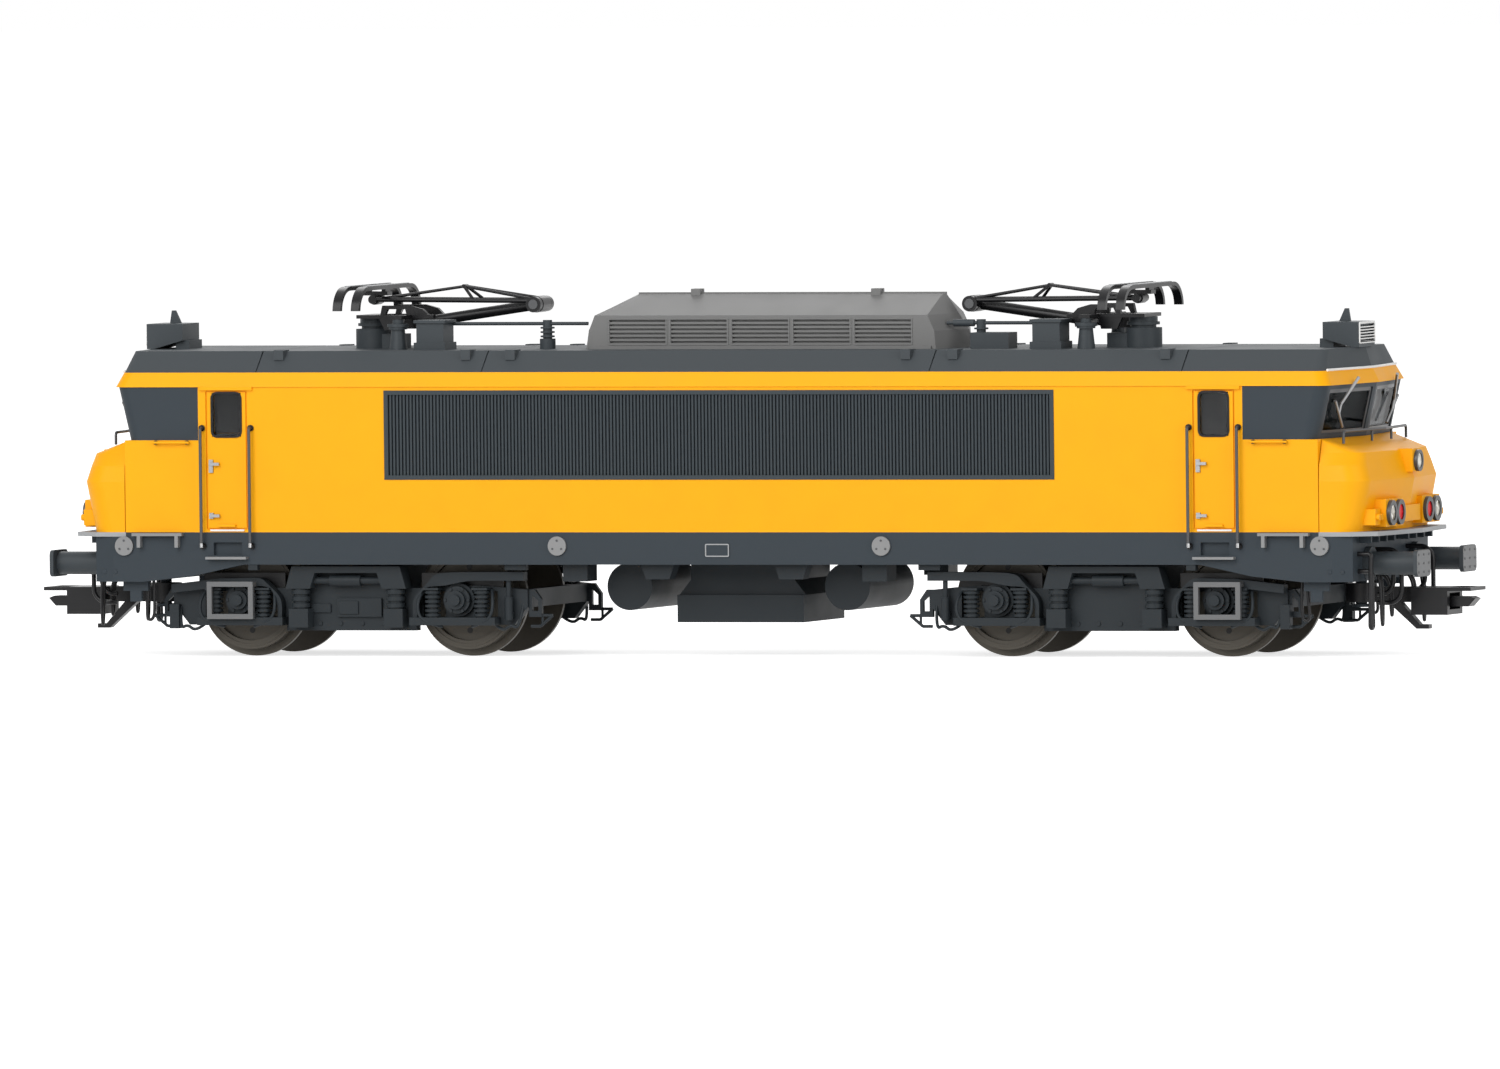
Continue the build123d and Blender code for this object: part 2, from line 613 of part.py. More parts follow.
with BuildPart() as footplates:
    for end, base in ENDS:
        with BuildPart(base):
            with BuildSketch(base.offset(beam_top_z)):
                plan = [(seam_x, half_width), (beam_x - 0.3, half_width), (beam_x + 3.2, half_width - 2.1)]
                Polygon(*plan, (beam_x + 4.7, 0), *[(x, -y) for x, y in reversed(plan)], align=None)
            extrude(amount=waist_z - beam_top_z)
footplates.part.label = "footplates"
export_step(footplates.part, "parts/footplates.step")

head_d = 0.5
with BuildPart() as buffer_shanks:
    for end, base in ENDS:
        with BuildPart(base):
            for y in (buffer_y, -buffer_y):
                bar_x(y, buffer_z, beam_x, beam_x + 0.8, 2.3)
                bar_x(y, buffer_z, beam_x, buffer_face_x - head_d, 1.6)
buffer_shanks.part.label = "buffer_shanks"
export_step(buffer_shanks.part, "parts/buffer_shanks.step")

with BuildPart() as buffer_heads:
    for end, base in ENDS:
        with BuildPart(base):
            with BuildSketch(end_view(base, buffer_face_x - head_d)):
                with Locations((buffer_y, buffer_z), (-buffer_y, buffer_z)):
                    RectangleRounded(5.9, 3.7, 0.7)
            extrude(amount=head_d)
buffer_heads.part.label = "buffer_heads"
export_step(buffer_heads.part, "parts/buffer_heads.step")

for end, base in ENDS:
    with BuildPart(base) as coupler:
        x = coupler_x
        post(x, 0, coupler_z0, coupler_z1, coupler_pin_r + 1.4)
        block(x, x + 8.8, -1.4, 1.4, coupler_z0, coupler_z1 - 0.5)
        block(x + 8.3, x + 13.6, -3.3, 3.3, coupler_z0 - 1.7, coupler_z1 - 0.5)
        block(x + 10.0, x + 14.0, -2.3, 2.3, coupler_z0 - 1.0, coupler_z1 - 1.3, mode=Mode.SUBTRACT)
        with BuildSketch(side_view(base, 0)):
            Polygon((x + 9.4, 5.7), (x + 16.0, 5.7), (x + 17.0, 6.8), (x + 16.2, 7.1), (x + 9.4, 7.1),
                    align=None)
        extrude(amount=1.3, both=True)
        for side in SIDES:
            block(x + 13.0, x + 16.9, side * 2.6, side * 3.3, coupler_z1 - 1.0, coupler_z1 - 0.5)
        block(x + 16.3, x + 17.0, -3.3, 3.3, coupler_z1 - 1.0, coupler_z1 - 0.5)
        with BuildSketch(side_view(base, 0)):
            Polygon((x + 3.4, 6.9), (x + 5.4, 6.9), (x + 8.7, 3.2), (x + 10.0, 3.2), (x + 10.0, 2.6),
                    (x + 8.2, 2.6), align=None)
        extrude(amount=0.7, both=True)
        post(x, 0, coupler_z0 - 0.3, coupler_z1 + 0.3, coupler_pin_r + run_gap, mode=Mode.SUBTRACT)
    coupler.part.label = f"coupler_{end}"
    export_step(coupler.part, f"parts/coupler_{end}.step")

# Hoses at the ends, wipers and nose rails

hose_y = 6.9
loop_y = 14.2
with BuildPart() as hoses:
    for end, base in ENDS:
        with BuildPart(base):
            for reach, top, low in ((3.9, 13.8, 6.4), (2.7, 12.6, 7.6)):
                for y in (hose_y, -hose_y):
                    x = beam_x + reach
                    wire(base, ((beam_x, y, top), (x, y, top), (x, y, low), (beam_x + 0.4, y, low)),
                         0.32, 1.9)
            x = beam_x + 1.9
            wire(base, ((beam_x, -loop_y, 13.4), (x, -loop_y, 13.4), (x, -loop_y - 0.4, 3.2),
                        (x, -loop_y + 0.6, 3.2), (x, -loop_y + 0.2, 11.0),
                        (beam_x, -loop_y + 0.2, 11.0)), 0.34, 0.45)
hoses.part.label = "hoses"
export_step(hoses.part, "parts/hoses.step")


def screen_x(y, z):
    """Front face of the windscreen at a height and a distance from the middle."""
    (z0, x0), (z1, x1) = CAB_LEVELS
    return x0 + (x1 - x0) * (z - z0) / (z1 - z0) - v_drop * y / half_width


def on_screen(side, y, z, lift):
    """Point in front of the windscreen."""
    return (screen_x(y, z) + lift, side * y, z)


with BuildPart() as wipers:
    for end, base in ENDS:
        with BuildPart(base):
            for side in SIDES:
                elbow = on_screen(side, 11.6, screen_base_z + 4.7, 0.5)
                rod(on_screen(side, 8.4, screen_top_z + 0.9, 0.9), elbow, 0.22)
                rod(elbow, on_screen(side, 11.6, screen_base_z + 3.3, 0.5), 0.2)
                rod(on_screen(side, 9.6, screen_base_z + 1.5, 0.5),
                    on_screen(side, 13.6, screen_base_z + 5.2, 0.5), 0.2)
wipers.part.label = "wipers"
export_step(wipers.part, "parts/wipers.step")

rail_h = 1.7
with BuildPart() as nose_handrails:
    for end, base in ENDS:
        with BuildPart(base):
            x = seam_x + 2.6
            y = half_width - 3.5
            z0 = screen_base_z - 0.7
            z1 = z0 + rail_h
            wire(base, ((x, -y, z0), (x, -y, z1), (x + 1.5, 0, z1), (x, y, z1), (x, y, z0)), 0.2, 0.5)
            for side in SIDES:
                rod((x + 1.0, side * 4.2, z0 + 0.1), (x + 1.0, side * 4.2, z1), 0.18)
nose_handrails.part.label = "nose_handrails"
export_step(nose_handrails.part, "parts/nose_handrails.step")

# Under-floor equipment

with BuildPart(rail) as battery_box:
    block(-9.3, 9.3, -8.5, 8.5, 3.7, 7.5)
    with BuildSketch(side_view(rail, 0)):
        Polygon((-9.3, 7.5), (9.3, 7.5), (7.6, 9.6), (7.6, sole_z), (-7.6, sole_z), (-7.6, 9.6), align=None)
    extrude(amount=7.5, both=True)
battery_box.part.label = "battery_box"
export_step(battery_box.part, "parts/battery_box.step")

with BuildPart(rail) as air_tanks:
    for x in (-16.0, 16.0):
        bar_y(x, sole_z - tank_r, -9.3, 9.3, tank_r)
        block(x - 1.2, x + 1.2, -6.0, 6.0, sole_z - tank_r, sole_z)
air_tanks.part.label = "air_tanks"
export_step(air_tanks.part, "parts/air_tanks.step")

with BuildPart(rail) as hangers:
    for side in SIDES:
        for x in (-9.8, 9.8):
            with BuildSketch(side_view(rail, side * 14.0)):
                Polygon((x - 2.5, sole_z), (x + 2.5, sole_z), (x + 1.7, sole_z - 2.1),
                        (x - 1.7, sole_z - 2.1), align=None)
            extrude(amount=1.2, both=True)
        for x in (-22.0, 22.0):
            block(x - 1.8, x + 1.8, side * 11.0, side * 15.0, sole_z - 2.4, sole_z)
hangers.part.label = "hangers"
export_step(hangers.part, "parts/hangers.step")

# Rails, handles and plates on the sides

with BuildPart(rail) as door_handles:
    for x, side in DOORS:
        handle_x = x + side * 2.3
        y0 = side * half_width
        y1 = side * (half_width + 0.3)
        block(handle_x - 0.3, handle_x + 0.3, y0, y1, 24.8, 26.6)
        block(handle_x - 0.3, handle_x + 0.3, y0, y1, 18.4, 19.2)
        for z in (26.0, 18.8):
            block(handle_x + side * 0.2, handle_x - side * 1.3, y1, y1 + side * 0.3, z - 0.2, z + 0.2)
door_handles.part.label = "door_handles"
export_step(door_handles.part, "parts/door_handles.step")

with BuildPart(rail) as door_handrails:
    for x, side in DOORS:
        for dx in (-door_w / 2 - 0.65, door_w / 2 + 0.65):
            y = side * half_width
            out = side * (half_width + 0.9)
            wire(rail, ((x + dx, y, 14.6), (x + dx, out, 14.6), (x + dx, out, 31.0), (x + dx, y, 31.0)),
                 0.22, 0.4)
door_handrails.part.label = "door_handrails"
export_step(door_handrails.part, "parts/door_handrails.step")

with BuildPart(rail) as jack_covers:
    for side in SIDES:
        for x in (-seam_x - 0.2, -23.8, 23.8, seam_x + 0.2):
            bar_y(x, sole_z + 2.6, side * half_width, side * (half_width + 0.35), 1.33)
jack_covers.part.label = "jack_covers"
export_step(jack_covers.part, "parts/jack_covers.step")

with BuildPart(rail) as side_steps:
    for x, side in DOORS:
        y0 = side * half_width
        y1 = side * (half_width + 1.0)
        end = 1 if x > 0 else -1
        block(x - 3.0, x + 3.0, y0, y1, sole_z + 0.75, sole_z + 1.1)
        block(x + end * 6.5, x + end * 13.9, y0, y1, waist_z - 0.5, waist_z - 0.1)
        for dx in (7.3, 12.9):
            block(x + end * dx - 0.25, x + end * dx + 0.25, y0, y1, waist_z - 2.1, waist_z - 0.5)
side_steps.part.label = "side_steps"
export_step(side_steps.part, "parts/side_steps.step")

# Bogies: frame, springs, ladders and end guards

PLATE = ((panel_half, frame_base_z), (panel_half, beam_base_z), (half_wheelbase + 7.9, beam_base_z),
         (arm_end_x, 6.0), (arm_end_x, 8.4), (half_wheelbase + 2.8, 9.0), (panel_half + 0.8, leg_z))
AXLE_BOX = (  # outer face y, radius
    (13.9, 2.3),
    (14.7, 1.9),
    (15.3, 1.3),
    (box_out_y, 0.75),
)
ARMS = (  # side of the bogie, height over the axle, height at the end
    (1, 10.0, 9.2),
    (-1, 10.9, 10.9),
)
arm_d = 1.2

for end, base in BOGIES:
    with BuildPart(base) as bogie_frame:
        block(-bolster_half, bolster_half, -frame_out_y, frame_out_y, 4.6, bolster_top_z)
        for side in SIDES:
            with BuildSketch(side_view(base, side * (frame_in_y + frame_out_y) / 2)):
                Polygon(*PLATE, *[(-x, z) for x, z in reversed(PLATE)], align=None)
                with Locations((half_wheelbase, 6.4), (-half_wheelbase, 6.4)):
                    Rectangle(11.0, 3.6, mode=Mode.SUBTRACT)
                    Rectangle(4.4, 5.0)
            extrude(amount=(frame_out_y - frame_in_y) / 2, both=True)
            with BuildSketch(side_view(base, side * (frame_out_y + 1.0))):
                x = panel_half
                Polygon((-x + 0.7, leg_z), (-x + 1.6, bolster_top_z), (x - 1.6, bolster_top_z),
                        (x - 0.7, leg_z), (x - 4.3, leg_z), (x - 5.0, bolster_top_z - 0.9),
                        (-x + 5.0, bolster_top_z - 0.9), (-x + 4.3, leg_z), align=None)
            extrude(amount=1.4, both=True)
            bar_x(side * 14.4, leg_z + 1.1, -panel_half + 4.0, panel_half - 4.0, 0.5)
            bar_x(side * 14.4, leg_z + 1.1, -1.9, 2.6, 0.8)
            for axle, top, tip in ARMS:
                x = axle * half_wheelbase
                block(axle * (panel_half - 0.2), x + axle * 5.9, side * frame_out_y, side * seat_out_y,
                      spring_z0 - 1.1, spring_z0)
                blocks([(x + dx, side * 14.4, spring_z1 + 0.15) for dx in (-spring_dx, spring_dx)],
                       2.3, 2.4, 0.3)
                block(axle * stack_x - 1.4, axle * stack_x + 1.4, side * frame_out_y, side * seat_out_y,
                      stack_z0 - 2.6, stack_z0)
                with BuildSketch(side_view(base, side * (frame_out_y + arm_out_y) / 2)):
                    with BuildLine():
                        a = panel_half
                        over = Spline((axle * (a + 0.1), spring_z0), (axle * (a + 0.4), 7.4),
                                      (axle * (a + 2.0), 9.1), (axle * (a + 9.3), top),
                                      tangents=((0, 1), (axle, 0)))
                        Polyline(over @ 1, (axle * arm_end_x, tip), (axle * arm_end_x, tip - arm_d),
                                 (axle * (a + 9.3), top - arm_d))
                        under = Spline((axle * (a + 9.3), top - arm_d), (axle * (a + 3.9), 8.95),
                                       (axle * (a + 1.9), 8.6), (axle * (a + 1.0), 7.2),
                                       (axle * (a + 0.7), spring_z0), tangents=((-axle, 0), (0, -1)))
                        Line(under @ 1, over @ 0)
                    make_face()
                extrude(amount=(arm_out_y - frame_out_y) / 2, both=True)
                for face_y, r in AXLE_BOX:
                    bar_y(x, tread_r, side * frame_in_y, side * face_y, r)
                bar_y(x, tread_r, side * (frame_in_y - 1), side * (axle_end_y + 0.2), axle_r + run_gap,
                      mode=Mode.SUBTRACT)
        for out in SIDES:
            block(out * (arm_end_x - 1.4), out * arm_end_x, -frame_out_y, frame_out_y, 5.9, 8.4)
        post(0, 0, 4.0, bolster_top_z + 1, pin_r + run_gap, mode=Mode.SUBTRACT)
    bogie_frame.part.label = f"bogie_frame_{end}"
    export_step(bogie_frame.part, f"parts/bogie_frame_{end}.step")

    with BuildPart(base) as springs:
        coil_h = (spring_z1 - spring_z0) / 6
        coils = [(axle * half_wheelbase + dx, side * spring_y) for axle in SIDES for side in SIDES
                 for dx in (-spring_dx, spring_dx)]
        stacks = [(x, side * spring_y) for x in (-stack_x, stack_x) for side in SIDES]
        with Locations(*[(x, y, (spring_z0 + spring_z1) / 2) for x, y in coils]):
            Cylinder(spring_r - 0.35, spring_z1 - spring_z0)
        with Locations(*[(x, y, spring_z0 + (i + 0.5) * coil_h) for x, y in coils for i in range(6)]):
            Cylinder(spring_r, 0.55 * coil_h)
        layer_h = (leg_z - stack_z0) / 3
        with Locations(*[(x, y, (stack_z0 + leg_z) / 2) for x, y in stacks]):
            Cylinder(1.0, leg_z - stack_z0)
        with Locations(*[(x, y, stack_z0 + (i + 0.5) * layer_h) for x, y in stacks for i in range(3)]):
            Cylinder(1.28, 0.6 * layer_h)
    springs.part.label = f"bogie_springs_{end}"
    export_step(springs.part, f"parts/bogie_springs_{end}.step")

    with BuildPart(base) as ladders:
        bar = 0.7
        xa = half_wheelbase - 2.7
        xb = half_wheelbase + 4.1
        z0 = 4.4
        z1 = 9.6
        for side in SIDES:
            for x in (xa, xb - bar):
                block(x, x + bar, side * (ladder_y - bar), side * ladder_y, z0, z1)
                block(x, x + bar, side * arm_out_y, side * ladder_y, z1 - bar, z1)
            for z in (z0, z1 - bar):
                block(xa, xb, side * (ladder_y - bar), side * ladder_y, z, z + bar)
    ladders.part.label = f"ladders_{end}"
    export_step(ladders.part, f"parts/ladders_{end}.step")

    with BuildPart(base) as guards:
        y0 = frame_in_y + 0.45
        y = y0 + 0.35
        x = arm_end_x
        for side in SIDES:
            for out in SIDES:
                with BuildSketch(side_view(base, side * y)):
                    Polygon((out * x, 4.6), (out * (x + 1.9), 4.6), (out * (x + 1.9), 7.0),
                            (out * (x + 0.9), 8.4), (out * x, 8.4), align=None)
                    Polygon((out * (x + 0.5), 5.4), (out * (x + 1.4), 5.4), (out * (x + 1.4), 6.8),
                            (out * (x + 0.5), 7.6), align=None, mode=Mode.SUBTRACT)
                extrude(amount=0.35, both=True)
                rod((out * x, side * y, 4.8), (out * (x + 3.4), side * y, 4.8), 0.22)
                rod((out * (x + 3.4), side * y, 4.8), (out * (x + 1.6), side * y, 3.3), 0.22)
                rod((out * (x + 1.6), side * y, 3.3), (out * (x + 0.2), side * y, 3.3), 0.22)
                rod((out * (x + 1.9), side * y, 4.8), (out * (x + 1.9), side * y, 3.5), 0.18)
    guards.part.label = f"bogie_guards_{end}"
    export_step(guards.part, f"parts/bogie_guards_{end}.step")

WHEELSETS = (  # name, axle x
    ("1", bogie_x + half_wheelbase),
    ("2", bogie_x - half_wheelbase),
    ("3", -bogie_x + half_wheelbase),
    ("4", -bogie_x - half_wheelbase),
)
for name, x in WHEELSETS:
    with BuildPart(rail) as wheelset:
        bar_y(x, tread_r, -axle_end_y, axle_end_y, axle_r)
        bar_y(x, tread_r, -wheel_back_y, wheel_back_y, axle_r + 0.5)
        for side in SIDES:
            y0 = side * wheel_back_y
            y1 = side * (wheel_back_y + wheel_w)
            bar_y(x, tread_r, y0, y1, tread_r)
            bar_y(x, tread_r, y0, y0 + side * 0.7, tread_r + flange_depth)
            bar_y(x, tread_r, y1 - side * 0.6, y1 + side, tread_r - 1.2, mode=Mode.SUBTRACT)
            bar_y(x, tread_r, y0, y1, 2.4)
            bar_y(x, tread_r, y0, side * axle_end_y, axle_r)
    wheelset.part.label = f"wheelset_{name}"
    export_step(wheelset.part, f"parts/wheelset_{name}.step")
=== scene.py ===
import bmesh
import bpy
import math
from mathutils import Matrix, Vector


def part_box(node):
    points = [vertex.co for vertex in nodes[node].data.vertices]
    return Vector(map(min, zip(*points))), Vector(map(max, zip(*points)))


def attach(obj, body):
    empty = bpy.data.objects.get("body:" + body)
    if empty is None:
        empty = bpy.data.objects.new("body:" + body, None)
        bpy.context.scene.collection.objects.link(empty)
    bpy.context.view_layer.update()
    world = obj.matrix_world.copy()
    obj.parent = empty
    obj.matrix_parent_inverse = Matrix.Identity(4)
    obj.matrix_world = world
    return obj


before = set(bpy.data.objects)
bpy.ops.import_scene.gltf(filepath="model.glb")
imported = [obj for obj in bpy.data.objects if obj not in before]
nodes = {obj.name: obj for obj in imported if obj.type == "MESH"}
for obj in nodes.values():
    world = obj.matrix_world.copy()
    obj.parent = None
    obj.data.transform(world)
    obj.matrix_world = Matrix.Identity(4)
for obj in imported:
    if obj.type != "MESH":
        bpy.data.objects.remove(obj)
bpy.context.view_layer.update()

# Places and sizes of the fittings are in millimetres. Heights are above the rail
# head, which lies one flange depth above the floor.
MM = 0.001
RAIL_HEAD = 1.0 * MM


def mm(x, y, z):
    """A point in millimetres along, across and above the rail head, in metres."""
    return Vector((x * MM, y * MM, z * MM + RAIL_HEAD))


# Finishes: each has a colour that varies a little, a roughness that varies with
# it, and a fine grain

FINISHES = {  # name: (colour, roughness, metallic, specular, grain strength)
    "yellow": ((0.91, 0.400, 0.002), 0.45, 0.0, 0.18, 0.30),
    "blue_grey": ((0.0355, 0.045, 0.054), 0.50, 0.0, 0.15, 0.20),
    "grille": ((0.043, 0.053, 0.060), 0.55, 0.0, 0.15, 0.06),
    "roof": ((0.056, 0.064, 0.070), 0.55, 0.0, 0.15, 0.20),
    "roof_fitting": ((0.040, 0.048, 0.054), 0.50, 0.0, 0.25, 0.08),
    "hood": ((0.162, 0.162, 0.160), 0.48, 0.0, 0.25, 0.10),
    "silver": ((0.210, 0.212, 0.214), 0.42, 0.3, 0.35, 0.08),
    "light_grey": ((0.330, 0.340, 0.350), 0.45, 0.0, 0.35, 0.08),
    "steel": ((0.300, 0.305, 0.310), 0.36, 0.7, 0.4, 0.06),
    "bright": ((0.360, 0.362, 0.365), 0.25, 0.9, 0.5, 0.03),
    # Darker silver, for the ladders and buffer faces
    "dark_silver": ((0.125, 0.128, 0.131), 0.42, 0.3, 0.35, 0.08),
    "dark_steel": ((0.070, 0.072, 0.075), 0.38, 0.4, 0.4, 0.04),
    "black": ((0.007, 0.007, 0.008), 0.30, 0.0, 0.24, 0.05),
    "black_soft": ((0.008, 0.008, 0.009), 0.32, 0.0, 0.26, 0.05),
    "bogie": ((0.020, 0.025, 0.029), 0.50, 0.0, 0.18, 0.10),
    "inside": ((0.170, 0.172, 0.175), 0.60, 0.0, 0.20, 0.05),
    "cast": ((0.080, 0.080, 0.080), 0.60, 0.2, 0.30, 0.10),
    "wheel": ((0.074, 0.066, 0.053), 0.40, 0.3, 0.30, 0.10),
    "lens_red": ((0.720, 0.003, 0.008), 0.30, 0.0, 0.10, 0.02),
    "white": ((0.800, 0.800, 0.790), 0.45, 0.0, 0.30, 0.05),
}
MOTTLE_SCALE = 180.0
GRAIN_SCALE = 5200.0
GRAIN_DEPTH = 0.02 * MM
FACET_SCALE = 1250.0
FACET_ROUGHNESS = 0.12
# Strength of the painted glow of the unlit lamp lenses, in place of reflected light
LENS_PAINTED_GLOW = 0.35
NOISE_LOW = 0.3
NOISE_HIGH = 0.7
DARKER = 0.95
LIGHTER = 1.05
GLASS_DARKER = 0.96
ROUGHNESS_SPREAD = 0.04
GLASS_ROUGHNESS_SPREAD = 0.03
# Sockets of the Mix node that hold colours
MIX_FIRST = 6
MIX_SECOND = 7
MIX_RESULT = 2


def new_material(name):
    """Empty node material, its tree and its output."""
    material = bpy.data.materials.new(name)
    material.use_nodes = True
    tree = material.node_tree
    tree.nodes.clear()
    return material, tree, tree.nodes.new("ShaderNodeOutputMaterial")


def new_surface(name):
    """Node material with one shader, its tree, its texture coordinates and the shader."""
    material, tree, output = new_material(name)
    coords = tree.nodes.new("ShaderNodeTexCoord")
    shader = tree.nodes.new("ShaderNodeBsdfPrincipled")
    tree.links.new(shader.outputs["BSDF"], output.inputs["Surface"])
    return material, tree, coords, shader


def noise(tree, coords, scale, detail):
    """Noise texture in object space."""
    texture = tree.nodes.new("ShaderNodeTexNoise")
    texture.inputs["Scale"].default_value = scale
    texture.inputs["Detail"].default_value = detail
    tree.links.new(coords.outputs["Object"], texture.inputs["Vector"])
    return texture


def spread(tree, texture, low, high):
    """Maps a noise texture to a range of values."""
    node = tree.nodes.new("ShaderNodeMapRange")
    node.inputs["From Min"].default_value = NOISE_LOW
    node.inputs["From Max"].default_value = NOISE_HIGH
    node.inputs["To Min"].default_value = low
    node.inputs["To Max"].default_value = high
    tree.links.new(texture.outputs["Fac"], node.inputs["Value"])
    return node


def tones(tree, factor, first, second):
    """Mixes two tones by a factor."""
    mix = tree.nodes.new("ShaderNodeMix")
    mix.data_type = "RGBA"
    mix.inputs[MIX_FIRST].default_value = (*first, 1)
    mix.inputs[MIX_SECOND].default_value = (*second, 1)
    tree.links.new(factor, mix.inputs["Factor"])
    return mix.outputs[MIX_RESULT]


def finish_material(name):
    """Painted, moulded or metal finish from the table."""
    colour, rough, metallic, specular, grain = FINISHES[name]
    material, tree, coords, shader = new_surface(name)
    shader.inputs["Metallic"].default_value = metallic
    shader.inputs["Specular IOR Level"].default_value = specular
    mottle = noise(tree, coords, MOTTLE_SCALE, detail=4)
    fine = noise(tree, coords, GRAIN_SCALE, detail=2)
    dark = [c * DARKER for c in colour]
    light = [min(1, c * LIGHTER) for c in colour]
    tree.links.new(tones(tree, mottle.outputs["Fac"], dark, light), shader.inputs["Base Color"])
    roughness = spread(tree, mottle, rough - ROUGHNESS_SPREAD, rough + ROUGHNESS_SPREAD)
    tree.links.new(roughness.outputs["Result"], shader.inputs["Roughness"])
    bump = tree.nodes.new("ShaderNodeBump")
    bump.inputs["Strength"].default_value = grain
    bump.inputs["Distance"].default_value = GRAIN_DEPTH
    tree.links.new(fine.outputs["Fac"], bump.inputs["Height"])
    tree.links.new(bump.outputs["Normal"], shader.inputs["Normal"])
    return material


def glass_material(name, tint, rough, index):
    """Clear moulded plastic, faintly uneven."""
    material, tree, coords, shader = new_surface(name)
    shader.inputs["Transmission Weight"].default_value = 1.0
    shader.inputs["IOR"].default_value = index
    waves = noise(tree, coords, MOTTLE_SCALE, detail=2)
    dark = [c * GLASS_DARKER for c in tint]
    tree.links.new(tones(tree, waves.outputs["Fac"], dark, tint), shader.inputs["Base Color"])
    roughness = spread(tree, waves, rough, rough + GLASS_ROUGHNESS_SPREAD)
    tree.links.new(roughness.outputs["Result"], shader.inputs["Roughness"])
    return material


def glint_lens_material(name, dark, light):
    """Cut lens of an unlit lamp: small facets between a light and a dark tone as painted glints, and a
    faint painted glow in place of reflected light.
    """
    material, tree, coords, shader = new_surface(name)
    shader.inputs["Roughness"].default_value = FACET_ROUGHNESS
    facets = tree.nodes.new("ShaderNodeTexVoronoi")
    facets.inputs["Scale"].default_value = FACET_SCALE
    tree.links.new(coords.outputs["Object"], facets.inputs["Vector"])
    tone = tones(tree, facets.outputs["Color"], light, dark)
    tree.links.new(tone, shader.inputs["Base Color"])
    # Painted glow: the lens gives off its own tones in place of the light it reflects
    tree.links.new(tone, shader.inputs["Emission Color"])
    shader.inputs["Emission Strength"].default_value = LENS_PAINTED_GLOW
    return material


MATERIALS = {name: finish_material(name) for name in FINISHES}
MATERIALS["glass"] = glass_material("glass", (0.62, 0.65, 0.67), rough=0.02, index=1.06)
MATERIALS["side_glass"] = glass_material("side_glass", (0.50, 0.52, 0.54), rough=0.03, index=1.3)
# Clear lenses of the unlit lamps, with painted glints and a painted glow
MATERIALS["lens_clear"] = glint_lens_material("lens_clear", (0.08, 0.055, 0.015), (1.0, 0.98, 0.90))

NODE_FINISH = (  # start of the node's name, finish, edge rounding in mm
    ("body_shell", "yellow", 0.12),
    ("nose_handrails", "dark_steel", 0),
    ("nose", "yellow", 0.35),
    ("cab_inside", "inside", 0),
    ("cab", "blue_grey", 0.12),
    ("windscreens", "glass", 0),
    ("door_windows", "side_glass", 0),
    ("door_handrails", "dark_steel", 0),
    ("door_handles", "steel", 0.08),
    ("lamp_rims", "dark_steel", 0.06),
    ("lamp_lenses_white", "lens_clear", 0.05),
    ("lamp_lenses_red", "lens_red", 0.05),
    ("side_grilles", "grille", 0),
    ("roof_hood", "hood", 0.08),
    ("roof_line", "roof_fitting", 0.08),
    ("roof", "roof", 0.1),
    ("ac_units", "roof_fitting", 0.08),
    ("pan_insulators", "roof_fitting", 0.08),
    ("pan", "black", 0.06),
    ("underframe", "blue_grey", 0.12),
    ("motor_block", "cast", 0.2),
    ("footplates", "light_grey", 0.08),
    ("buffer_shanks", "roof_fitting", 0.1),
    ("buffer_heads", "roof_fitting", 0.1),
    ("coupler", "black_soft", 0.1),
    ("battery_box", "bogie", 0.15),
    ("air_tanks", "bogie", 0.2),
    ("hangers", "bogie", 0.12),
    ("hoses", "black_soft", 0),
    ("wipers", "steel", 0),
    ("jack_covers", "silver", 0.1),
    ("side_steps", "silver", 0.05),
    ("bogie", "bogie", 0.1),
    ("ladders", "dark_silver", 0.08),
    ("wheelset", "wheel", 0.1),
)

EDGE_SEGMENTS = 2
EDGE_ANGLE = math.radians(35)


def soften(obj, width):
    """Rounds the edges a little, so that they catch the light."""
    bevel = obj.modifiers.new("edge", "BEVEL")
    bevel.width = width * MM
    bevel.segments = EDGE_SEGMENTS
    bevel.limit_method = "ANGLE"
    bevel.angle_limit = EDGE_ANGLE
    bevel.use_clamp_overlap = True


for name, obj in nodes.items():
    for start, finish, width in NODE_FINISH:
        if name.startswith(start):
            obj.data.materials.clear()
            obj.data.materials.append(MATERIALS[finish])
            if width:
                soften(obj, width)
            break

# Solids that the small fittings are made of

UP = (0, 0, 1)
CORNER_STEPS = 4
MIN_CORNER = 0.05
PIPE_ROUNDNESS = 3
PIPE_STEPS = 6
PIPE_ORDER = 3


def box_part(mesh, low, high):
    """Adds a box between two corners in millimetres."""
    a, b = mm(*low), mm(*high)
    size = [abs(b[i] - a[i]) for i in range(3)]
    place = Matrix.Translation((a + b) / 2) @ Matrix.Diagonal((*size, 1))
    bmesh.ops.create_cube(mesh, size=1, matrix=place)


def box_rows(mesh, rows, x, turn, side):
    """Adds boxes from rows of x0, x1, y0, y1, z0, z1: along from x by turn, across by side."""
    for x0, x1, y0, y1, z0, z1 in rows:
        box_part(mesh, (x + turn * x0, side * y0, z0), (x + turn * x1, side * y1, z1))


def rod_part(mesh, start, end, radius, sides=12):
    """Adds a round rod between two points in millimetres."""
    a, b = mm(*start), mm(*end)
    turn = (b - a).to_track_quat("Z", "Y").to_matrix().to_4x4()
    place = Matrix.Translation((a + b) / 2) @ turn
    bmesh.ops.create_cone(mesh, cap_ends=True, segments=sides, radius1=radius * MM, radius2=radius * MM,
                          depth=(b - a).length, matrix=place)


